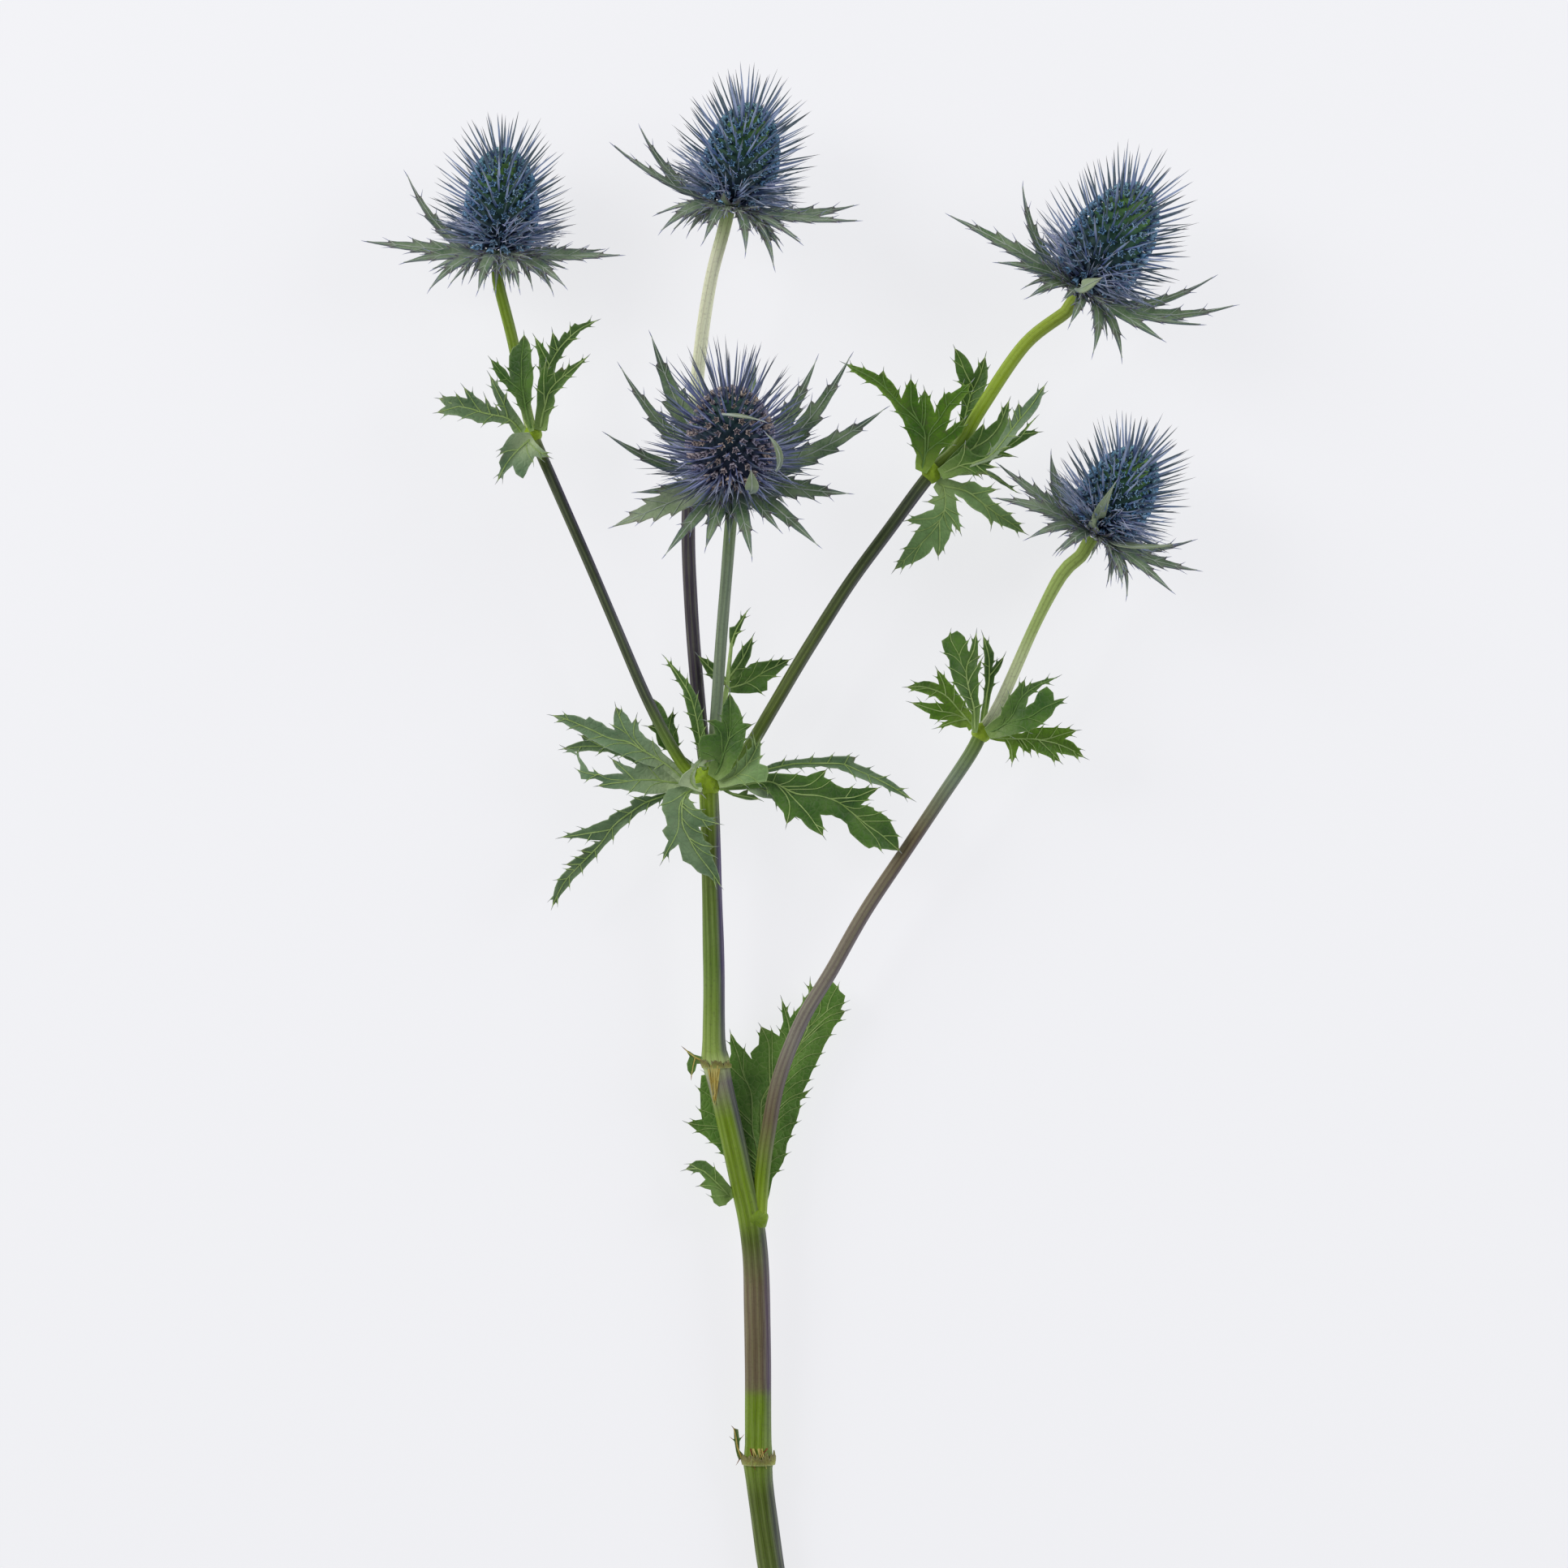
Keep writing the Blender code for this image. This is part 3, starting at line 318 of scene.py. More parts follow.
def bract_finish(name, dark, light, flush):
    """A bract's finish: grey-green, violet at the margins and brown-violet at the tip."""
    made, tree, shader = new_material(name)
    cloud = patches(tree, 160.0, 0.2)
    veins = effect(tree, net_group, Scale=700.0, Line=0.08)
    colour = mix(tree, cloud, paint(dark), paint(light))
    colour = wash(tree, colour, veins["Mask"], 0.3, "a9b596")
    edge = maths(tree, "POWER", reading(tree, "edge"), 2.0)
    colour = wash(tree, colour, edge, 0.55, flush)
    colour = wash(tree, colour, reading(tree, "foot"), 0.45, "7d86b4")
    colour = wash(tree, colour, reading(tree, "tip"), 0.8, "6a5262")
    roughness = spread(tree, cloud, 0.0, 1.0, 0.45, 0.62)
    finish_with(tree, shader, colour, roughness, veins["Height"], 0.3, 0.0002)
    shader.inputs["Specular IOR Level"].default_value = 0.3
    return made


def hair_finish(name, dark, light, roughness):
    """Veins, spines and threads: two close colours in fine patches."""
    made, tree, shader = new_material(name)
    cloud = patches(tree, 350.0, 0.2)
    colour = mix(tree, cloud, paint(dark), paint(light))
    finish_with(tree, shader, colour, spread(tree, cloud, 0.0, 1.0, roughness, roughness + 0.1),
                cloud, 0.15, 0.0001)
    return made


LEAF_GREEN = leaf_finish("leaf_green", "345e20", "5f8832", "9cba64", "93ac6a", "6f7a58", 620.0)
LEAF_SAGE = leaf_finish("leaf_sage", "4a6c44", "7c986c", "aac484", "9fb484", "74805e", 620.0)
LEAF_BRIGHT = leaf_finish("leaf_bright", "3c6c0f", "699420", "a6c650", "94b650", "5c5244", 620.0)
LEAF_GREY = leaf_finish("leaf_grey", "587c54", "8aa67c", "d2e2ac", "a9b898", "7c8a66", 620.0)
LEAF_LIGHT = leaf_finish("leaf_light", "688e50", "8cb06c", "b4cc84", "b4cc8c", "7c8a5c", 620.0)
# The warm finish is lighter than the leaf's own green: painted light for the big stem leaf, which lies in
# the stems' shade.
LEAF_WARM_LIT = leaf_finish("leaf_warm_lit", "4a782c", "6e9a3c", "a8c45c", "94b454", "a0b470", 620.0)
BRACT_GREY = bract_finish("bract_grey", "5c7856", "9aac8a", "68668a")
BRACT_GREEN = bract_finish("bract_green", "56744c", "92a87e", "5c5f84")
BRACT_PALE = bract_finish("bract_pale", "8ea278", "b4c29e", "8c9478")
SHEATH = leaf_finish("sheath", "7f9438", "b0bc5c", "c9cf94", "c9cf9a", "8a5426", 900.0)
VEIN_PALE = hair_finish("vein_pale", "8caa56", "b0c87c", 0.5)
VEIN_SOFT = hair_finish("vein_soft", "5c8634", "7c9c50", 0.5)
RIB_PALE = hair_finish("rib_pale", "98a892", "c4ccbc", 0.5)
SPINE_PALE = hair_finish("spine_pale", "7c827c", "b2b8ae", 0.45)
SPINE_VIOLET = hair_finish("spine_violet", "6f749c", "a5abca", 0.45)
print("leaf and bract finishes ready")

# %% [markdown]
# Stems change colour along their length: fresh green, olive, plum where the sun has reached
# them, and almost white below some heads. The mesh carries that as a colour at each vertex,
# set when the stem is swept. The finish adds fine streaks and a waxy cloud, paler ridges that
# are partly painted highlight, and grooves darkened with painted shade.

# %% Stem finish
STEM_SKIN, tree, shader = new_material("stem_skin")
tone = put(tree, "ShaderNodeAttribute", attribute_name="tone").outputs["Color"]
streak = effect(tree, streak_group, Turns=5.0, Run=0.03)["Mask"]
fine = effect(tree, streak_group, Turns=16.0, Run=0.10)["Mask"]
fleck = patches(tree, 1400.0, 0.3)
wax = patches(tree, 90.0, 0.2)
colour = mix(tree, spread(tree, streak, 0.0, 1.0, 0.0, 0.4), tone,
             mix(tree, 1.0, tone, paint("a09c90"), "MULTIPLY"))
colour = mix(tree, spread(tree, fine, 0.45, 1.0, 0.0, 0.35), colour,
             mix(tree, 0.3, tone, paint("dce8a8")))
# Paler ridges: partly their own colour, partly a painted highlight on the raised ribs.
ridge = maths(tree, "MULTIPLY", spread(tree, reading(tree, "ridge"), 0.2, 1.0, 0.0, 0.45),
              spread(tree, wax, 0.0, 1.0, 0.5, 1.0))
colour = mix(tree, ridge, colour, mix(tree, 0.30, tone, paint("dce89c")))
# Darker grooves: painted shade between the ribs.
painted_groove_shade = spread(tree, reading(tree, "ridge"), -0.7, -1.0, 0.0, 0.5)
colour = mix(tree, painted_groove_shade, colour, mix(tree, 1.0, tone, paint("a08c84"), "MULTIPLY"))
colour = mix(tree, spread(tree, fleck, 0.55, 1.0, 0.0, 0.35), colour, paint("4a3f2f"))
colour = mix(tree, spread(tree, wax, 0.0, 1.0, 0.0, 0.03), colour, paint("c3c6c6"))
finish_with(tree, shader, colour, spread(tree, wax, 0.0, 1.0, 0.4, 0.58), fine, 0.25, 0.0002)
shader.inputs["Specular IOR Level"].default_value = 0.2
TORN_TAN = hair_finish("torn_tan", "b3952f", "d8cf7e", 0.7)
TORN_BROWN = hair_finish("torn_brown", "6b3f1c", "a8692f", 0.75)
print("stem finish ready")


# %% [markdown]
# ## Turning a shape into a piece
# Shapes are worked out in millimetres and shrunk to metres at the end. Every finished piece
# is smooth, keeps its sharp rims, rides on the stem's only body and stands for one solid of
# the plain model.


# %% Finishing and joining helpers
SHARP_RIM = math.radians(55)
FLOOR_GAP = 0.08            # millimetres between the floor and whatever lies on it
STRAND_SLOTS = 4            # finishes that a bundle of strands can choose from
STRAND_WELD = 0.002         # millimetres within which a strand's points are merged


def finish_piece(bm, name, materials, node):
    """A bmesh in millimetres becomes a piece that stands for one solid."""
    for vert in bm.verts:
        vert.co.z = max(vert.co.z, FLOOR_GAP)
    bmesh.ops.scale(bm, vec=(MM, MM, MM), verts=bm.verts)
    mesh = mesh_of(bm, name)
    mesh.shade_smooth()
    mesh.set_sharp_from_angle(angle=SHARP_RIM)
    for material in materials:
        mesh.materials.append(material)
    piece = bpy.data.objects.new(name, mesh)
    bpy.context.scene.collection.objects.link(piece)
    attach(piece, "root")
    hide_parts(node)
    return piece


def absorb(whole, part, material=None):
    """Move one bmesh into another, with a material number for its faces."""
    if material is not None:
        for face in part.faces:
            face.material_index = material
    carrier = mesh_of(part, "carrier")
    whole.from_mesh(carrier)
    bpy.data.meshes.remove(carrier)


def strands(routes, resolution=1):
    """Thin tapered tubes as a bmesh. A route is (material, points) with x, y, z, radius."""
    curve = bpy.data.curves.new("strands", "CURVE")
    curve.dimensions = "3D"
    curve.bevel_depth = 1.0
    curve.bevel_resolution = resolution
    curve.use_fill_caps = True
    for number in range(STRAND_SLOTS):
        curve.materials.append(None)
    for material, points in routes:
        spline = curve.splines.new("POLY")
        spline.points.add(len(points) - 1)
        spline.material_index = material
        for point, (x, y, z, radius) in zip(spline.points, points):
            point.co = (x, y, z, 1.0)
            point.radius = radius
    holder = bpy.data.objects.new("strands", curve)
    bpy.context.scene.collection.objects.link(holder)
    bpy.context.view_layer.update()
    seen = holder.evaluated_get(bpy.context.evaluated_depsgraph_get())
    mesh = bpy.data.meshes.new_from_object(seen)
    bpy.data.objects.remove(holder)
    bpy.data.curves.remove(curve)
    bm = bmesh.new()
    bm.from_mesh(mesh)
    bpy.data.meshes.remove(mesh)
    bmesh.ops.remove_doubles(bm, verts=bm.verts, dist=STRAND_WELD)
    bmesh.ops.recalc_face_normals(bm, faces=bm.faces)
    return bm


def faces_of(piece):
    """How many triangles a piece has."""
    return sum(len(polygon.vertices) - 2 for polygon in piece.data.polygons)


print("pieces ride on the root body and lie", FLOOR_GAP, "mm above the floor")

# %% [markdown]
# ## The stem
# A stem could be a curve with a round bevel, but its skin is ribbed and its colour changes
# all along, so a ring is swept instead. Each step extrudes the ring and sets it square to a
# smooth curve through a few stations of x, y, z and diameter. Most were judged. Those
# of the side branch, left stalk and right stalk were set to centres measured on the
# photo.

# %% Stations of the stem, in millimetres
NODES = {
    "left": ((-69.1, 106.0, 17.0), 2.5),
    "right": ((34.0, 96.0, 17.0), 2.8),
    "low": ((47.0, 28.8, 16.0), 2.7),
    "fork": ((-23.9, 16.4, 14.0), 4.2),
    "branch": ((-11.8, -97.7, 8.0), 4.1),
}
MAIN_STEM = (
    (-5.5, -200.0, 3.5, 6.9),
    (-8.0, -186.0, 3.8, 6.9),
    (-10.6, -166.0, 4.4, 6.9),
    (-10.9, -160.7, 4.7, 7.9),
    (-10.9, -156.5, 4.9, 6.9),
    (-11.2, -120.0, 6.9, 6.8),
    (-12.2, -102.0, 7.8, 6.6),
    (-15.5, -86.0, 8.7, 6.3),
    (-20.8, -62.0, 10.2, 6.2),
    (-22.0, -56.4, 10.5, 7.3),
    (-22.4, -51.0, 10.7, 5.9),
    (-22.4, -33.0, 11.5, 5.5),
    (-22.9, -12.0, 12.6, 5.2),
    (-23.3, 5.0, 13.4, 5.0),
    (-23.9, 16.4, 14.0, 5.0),
)
SIDE_BRANCH = (
    (-10.6, -97.0, 8.2, 3.8),
    (-9.9, -86.0, 8.9, 4.0),
    (-8.2, -74.0, 9.5, 3.9),
    (-5.5, -61.0, 10.0, 3.8),
    (0.4, -46.0, 10.8, 3.6),
    (8.1, -33.0, 11.4, 3.6),
    (16.6, -18.0, 12.1, 3.5),
    (26.0, -3.8, 13.0, 3.5),
    (36.3, 11.6, 14.3, 3.5),
    (44.0, 23.2, 15.4, 3.6),
    (47.0, 28.8, 16.0, 3.6),
    (51.5, 36.0, 16.6, 3.2),
    (60.4, 56.0, 18.0, 2.9),
    (67.4, 69.5, 19.4, 3.5),
)
LEFT_STALK = (
    (-24.6, 16.8, 14.2, 3.2),
    (-28.6, 18.6, 15.0, 3.2),
    (-33.2, 25.0, 15.4, 3.0),
    (-40.1, 38.5, 15.8, 2.8),
    (-48.0, 57.0, 16.2, 2.7),
    (-56.1, 76.0, 16.6, 2.7),
    (-64.0, 94.0, 16.9, 2.8),
    (-69.1, 106.0, 17.0, 2.9),
    (-71.4, 115.0, 17.1, 2.9),
    (-74.3, 130.0, 17.5, 2.9),
)
BACK_STALK = (
    (-24.2, 17.0, 13.4, 3.4),
    (-25.9, 32.0, 12.6, 3.5),
    (-28.0, 57.0, 13.0, 3.5),
    (-29.0, 80.0, 14.2, 3.5),
    (-28.2, 100.0, 15.8, 3.5),
    (-26.0, 126.0, 18.0, 3.4),
    (-23.2, 145.0, 19.8, 3.3),
)
FRONT_STALK = (
    (-23.0, 17.0, 14.6, 3.0),
    (-21.9, 32.0, 16.6, 3.0),
    (-20.6, 50.0, 19.2, 3.0),
    (-19.2, 67.0, 23.0, 3.0),
    (-17.9, 82.0, 27.6, 3.1),
)
RIGHT_STALK = (
    (-23.2, 16.6, 14.2, 3.4),
    (-18.8, 17.4, 14.9, 3.4),
    (-12.5, 26.2, 15.2, 3.4),
    (-6.9, 35.6, 15.4, 3.4),
    (1.9, 50.4, 15.8, 3.4),
    (12.5, 67.0, 16.3, 3.3),
    (22.6, 80.8, 16.7, 3.3),
    (34.0, 96.0, 17.0, 3.4),
    (40.7, 102.4, 17.2, 3.5),
    (47.0, 113.0, 17.8, 3.4),
    (58.0, 129.0, 19.4, 3.4),
)
# Heads: collar point, lean to the right in the floor's plane, lift off the floor, cone's
# width and height, bracteole length. Angles are in degrees.
HEADS = {
    "left": ((-77.9, 151.6, 18.7), 3.0, 5.0, 18.0, 28.0, 9.3),
    "top": ((-18.5, 163.4, 21.5), 14.0, 3.0, 18.6, 28.0, 9.4),
    "right": ((71.8, 142.4, 20.8), 32.5, 4.0, 20.5, 32.0, 9.6),
    "front": ((-17.4, 93.4, 34.0), -2.0, 42.0, 22.0, 28.0, 12.2),
    "low": ((75.4, 79.4, 20.8), 31.5, 4.0, 17.6, 26.0, 9.0),
}
COLLAR_GAP = 0.45           # between a stalk's end and its head's collar
LAST_STATIONS = (6.0, 3.0, COLLAR_GAP)      # how far below the collar a stalk runs straight


def head_matrix(head):
    """The head's own axes in space: X front, Y right, Z along the head's axis."""
    collar, lean, lift = HEADS[head][:3]
    lean, lift = math.radians(lean), math.radians(lift)
    axis = Vector((math.sin(lean) * math.cos(lift), math.cos(lean) * math.cos(lift),
                   math.sin(lift)))
    right = Vector((math.cos(lean), -math.sin(lean), 0.0))
    front = right.cross(axis)
    turn = Matrix((front, right, axis)).transposed().to_4x4()
    return Matrix.Translation(collar) @ turn


def to_collar(route, head):
    """A stalk's stations, ended square against the underside of its head."""
    matrix = head_matrix(head)
    diameter = route[-1][3]
    ends = [(*(matrix @ Vector((0.0, 0.0, -back))), diameter) for back in LAST_STATIONS]
    return list(route) + ends


def smooth_route(stations, step):
    """Stations close together on a smooth curve through the given ones."""
    padded = [stations[0]] + list(stations) + [stations[-1]]
    found = []
    for p, q, r, s in zip(padded, padded[1:], padded[2:], padded[3:]):
        count = max(1, round((Vector(r[:3]) - Vector(q[:3])).length / step))
        for number in range(count):
            t = number / count
            found.append(tuple(0.5 * (2 * b + (c - a) * t + (2 * a - 5 * b + 4 * c - d) * t ** 2
                                      + (3 * b - a - 3 * c + d) * t ** 3)
                               for a, b, c, d in zip(p, q, r, s)))
    return found + [tuple(stations[-1])]


print("routes:", len(MAIN_STEM), "stations on the main stem")

# %% [markdown]
# Each stem also has a list of tones: how far along, the colour there, and how strongly its
# right side is flushed with plum. The sweep mixes neighbours, so a few tones are enough.

# %% Tones along the stems
FRESH, GREEN, OLIVE, MOSS, SPRING = "a0c020", "6c8c2c", "7c9c00", "586c14", "94b048"
PALE, CREAM, GREY, DUSK = "d4e894", "fafcd8", "86987c", "455038"
# The mauve tone is paler than the stem's own mauve-brown, and the brown tone a little paler: both carry a
# painted highlight.
PLUM, MAUVE_WITH_HIGHLIGHT, BROWN, INK = "46326c", "988e84", "7c6c50", "43384a"
TONES = {
    "main": ((0.0, MOSS, 0.6), (0.14, MOSS, 0.5), (0.185, OLIVE, 0.2), (0.258, OLIVE, 0.5),
             (0.272, BROWN, 0.7), (0.39, BROWN, 0.6), (0.45, MOSS, 0.5), (0.475, OLIVE, 0.2),
             (0.53, OLIVE, 0.5), (0.60, OLIVE, 0.8), (0.645, MAUVE_WITH_HIGHLIGHT, 0.6), (0.662, PALE, 0.1),
             (0.675, SPRING, 0.7), (0.78, GREEN, 1.0), (0.92, MOSS, 1.0), (0.97, OLIVE, 0.5),
             (1.0, FRESH, 0.2)),
    "side": ((0.0, FRESH, 0.1), (0.06, OLIVE, 0.3), (0.13, BROWN, 0.4), (0.24, MAUVE_WITH_HIGHLIGHT, 0.5),
             (0.55, BROWN, 0.5), (0.64, GREY, 0.3), (0.70, GREEN, 0.2), (0.74, CREAM, 0.1),
             (0.86, "bcd47c", 0.1), (1.0, "b4d05c", 0.0)),
    "left": ((0.0, FRESH, 0.0), (0.09, GREEN, 0.3), (0.18, DUSK, 0.6), (0.60, DUSK, 0.8),
             (0.66, MOSS, 0.3), (0.70, PALE, 0.0), (0.76, OLIVE, 0.2), (1.0, OLIVE, 0.2)),
    "back": ((0.0, GREEN, 0.3), (0.08, INK, 0.2), (0.48, INK, 0.2), (0.58, GREY, 0.2),
             (0.68, CREAM, 0.0), (0.92, CREAM, 0.0), (1.0, PALE, 0.0)),
    "front": ((0.0, PALE, 0.0), (0.2, GREY, 0.2), (0.7, GREY, 0.2), (1.0, GREEN, 0.2)),
    "right": ((0.0, FRESH, 0.0), (0.07, GREEN, 0.2), (0.14, MOSS, 0.4), (0.58, DUSK, 0.6),
              (0.63, MOSS, 0.3), (0.67, SPRING, 0.0), (0.74, FRESH, 0.1), (1.0, "b4cc44", 0.1)),
}
FLUSH_START = 0.30          # how far to the right the plum flush starts
FLUSH_FADE = 0.50           # and over how much it reaches its full strength


def tone_at(tones, share, side):
    """The stem's colour at a share of its length, on its right side (1) or left (-1)."""
    for (start, first, weak), (end, second, strong) in zip(tones, tones[1:]):
        if share <= end:
            t = (share - start) / (end - start)
            colour = Vector(paint(first)).lerp(Vector(paint(second)), t)
            flush = weak + (strong - weak) * t
            reach = min(1.0, max(0.0, (side - FLUSH_START) / FLUSH_FADE))
            return colour.lerp(Vector(paint(PLUM)), flush * reach)
    return Vector(paint(tones[-1][1]))


def stem_layers(bm):
    """The numbers that the stem's finish reads at each vertex."""
    return (bm.verts.layers.float.new("around"), bm.verts.layers.float.new("along"),
            bm.verts.layers.float.new("ridge"), bm.verts.layers.float_color.new("tone"))


RIB_DEPTH = 0.014           # relief of the ribs, as a share of the stem's radius
SOFT_DEPTH = 0.03           # relief of the slower unevenness, as a share too
SOFT_RUN = 14               # millimetres over which the unevenness changes
RIB_WANDER = 2.0            # how far the ribs drift round the stem
SWEEP_STEP = 2.0            # millimetres between two rings
CAP_RIM = 0.35


def sweep(stations, tones, ribs, sides, seed):
    """A ribbed stem through the stations, as a bmesh."""
    bm = bmesh.new()
    around, along, ridge, tone = stem_layers(bm)
    ring = bmesh.ops.create_circle(bm, cap_ends=False, segments=sides, radius=1.0)["verts"]
    for vert in ring:
        vert[around] = math.atan2(vert.co.y, vert.co.x)
    edges = bm.edges[:]
    points = smooth_route(stations, SWEEP_STEP)
    run = [0.0]
    for a, b in zip(points, points[1:]):
        run.append(run[-1] + (Vector(b[:3]) - Vector(a[:3])).length)
    for number, (x, y, z, diameter) in enumerate(points):
        if number:
            made = bmesh.ops.extrude_edge_only(bm, edges=edges)["geom"]
            ring = [g for g in made if isinstance(g, bmesh.types.BMVert)]
            edges = [g for g in made if isinstance(g, bmesh.types.BMEdge)]
        before, after = points[max(0, number - 1)], points[min(len(points) - 1, number + 1)]
        tangent = (Vector(after[:3]) - Vector(before[:3])).normalized()
        right = tangent.cross(Vector((0.0, 0.0, 1.0))).normalized()
        up = right.cross(tangent)
        share = run[number] / run[-1]
        for vert in ring:
            angle = vert[around]
            soft = noise.noise(Vector((math.cos(angle) + seed, math.sin(angle),
                                       run[number] / SOFT_RUN)))
            drift = noise.noise(Vector((seed, share * 5, 0.0)))
            rib = math.cos(ribs * angle + RIB_WANDER * drift)
            reach = diameter / 2 * (1.0 + RIB_DEPTH * rib + SOFT_DEPTH * soft)
            vert.co = (Vector((x, y, z)) + right * math.cos(angle) * reach
                       + up * math.sin(angle) * reach)
            vert[along] = run[number]
            vert[ridge] = rib
            vert[tone] = tone_at(tones, share, math.cos(angle))
    ends = [e for e in bm.edges if e.is_boundary]
    caps = bmesh.ops.edgeloop_fill(bm, edges=ends)["faces"]
    bmesh.ops.inset_individual(bm, faces=caps, thickness=CAP_RIM, depth=-0.1)
    bmesh.ops.poke(bm, faces=caps)
    bmesh.ops.recalc_face_normals(bm, faces=bm.faces)
    return bm


LUMP_DEPTH = 0.10           # relief of a swelling's lumps, as a share of its radius


def node_swelling(centre, radius, tone_code, seed):
    """A rounded, bumpy node of the stem."""
    bm = bmesh.new()
    around, along, ridge, tone = stem_layers(bm)
    bmesh.ops.create_icosphere(bm, subdivisions=4, radius=radius)
    for vert in bm.verts:
        vert[around] = math.atan2(vert.co.y, vert.co.x)
        vert[along] = vert.co.z
        vert[tone] = paint(tone_code)
        lump = noise.noise(vert.co * 0.5 + Vector((seed, 0.0, 0.0)))
        vert.co *= 0.97 + LUMP_DEPTH * lump
    bmesh.ops.translate(bm, verts=bm.verts, vec=centre)
    return bm


# %% [markdown]
# Six stems are swept with their own number of ribs, and a swelling covers each joint. The
# side branch leaves the main stem without a real node, so its swelling is smaller and olive.

# %% Sweep the stems and swellings
BRANCH_SWELLING = 0.86
stem_bm = bmesh.new()
stem_layers(stem_bm)
# Each sweep: stations, tones, number of ribs, number of sides.
SWEEPS = (
    (MAIN_STEM, TONES["main"], 12, 72),
    (to_collar(SIDE_BRANCH, "low"), TONES["side"], 9, 54),
    (to_collar(LEFT_STALK, "left"), TONES["left"], 8, 48),
    (to_collar(BACK_STALK, "top"), TONES["back"], 8, 48),
    (to_collar(FRONT_STALK, "front"), TONES["front"], 8, 48),
    (to_collar(RIGHT_STALK, "right"), TONES["right"], 8, 48),
)
for number, (stations, tones, ribs, sides) in enumerate(SWEEPS):
    absorb(stem_bm, sweep(stations, tones, ribs, sides, number * 7.3))
for number, (name, (centre, radius)) in enumerate(NODES.items()):
    branch = name == "branch"
    swelling = node_swelling(centre, radius * (BRANCH_SWELLING if branch else 1.0),
                             OLIVE if branch else FRESH, number)
    absorb(stem_bm, swelling)
stem_piece = finish_piece(stem_bm, "stem_ribbed", [STEM_SKIN], "stem")
print("stem triangles:", faces_of(stem_piece))

# %% [markdown]
# ## Leaves
# A sea holly leaf is cut into lobes, and every lobe and tooth ends in a spine. A leaf could
# be a painted card, but a cut margin, a fold along the rib and raised veins read better as
# shape. Each blade is one flat outline in the floor's plane, with small teeth added by rule.
# It is cut into a fine grid, lifted onto a folded surface and given its thickness. A leaf
# that is cut down to its foot is made of several blades.

# %% Leaf outlines, in millimetres from the node
# Leaves without a swollen node of their own sit on the bare stem: place and radius.
PLAIN_SEATS = {
    "curl": ((-14.3, -92.0, 8.4), 3.5),
    "scar": ((-22.0, -56.4, 10.5), 3.75),
    "foot": ((-10.9, -160.7, 4.7), 4.15),
}
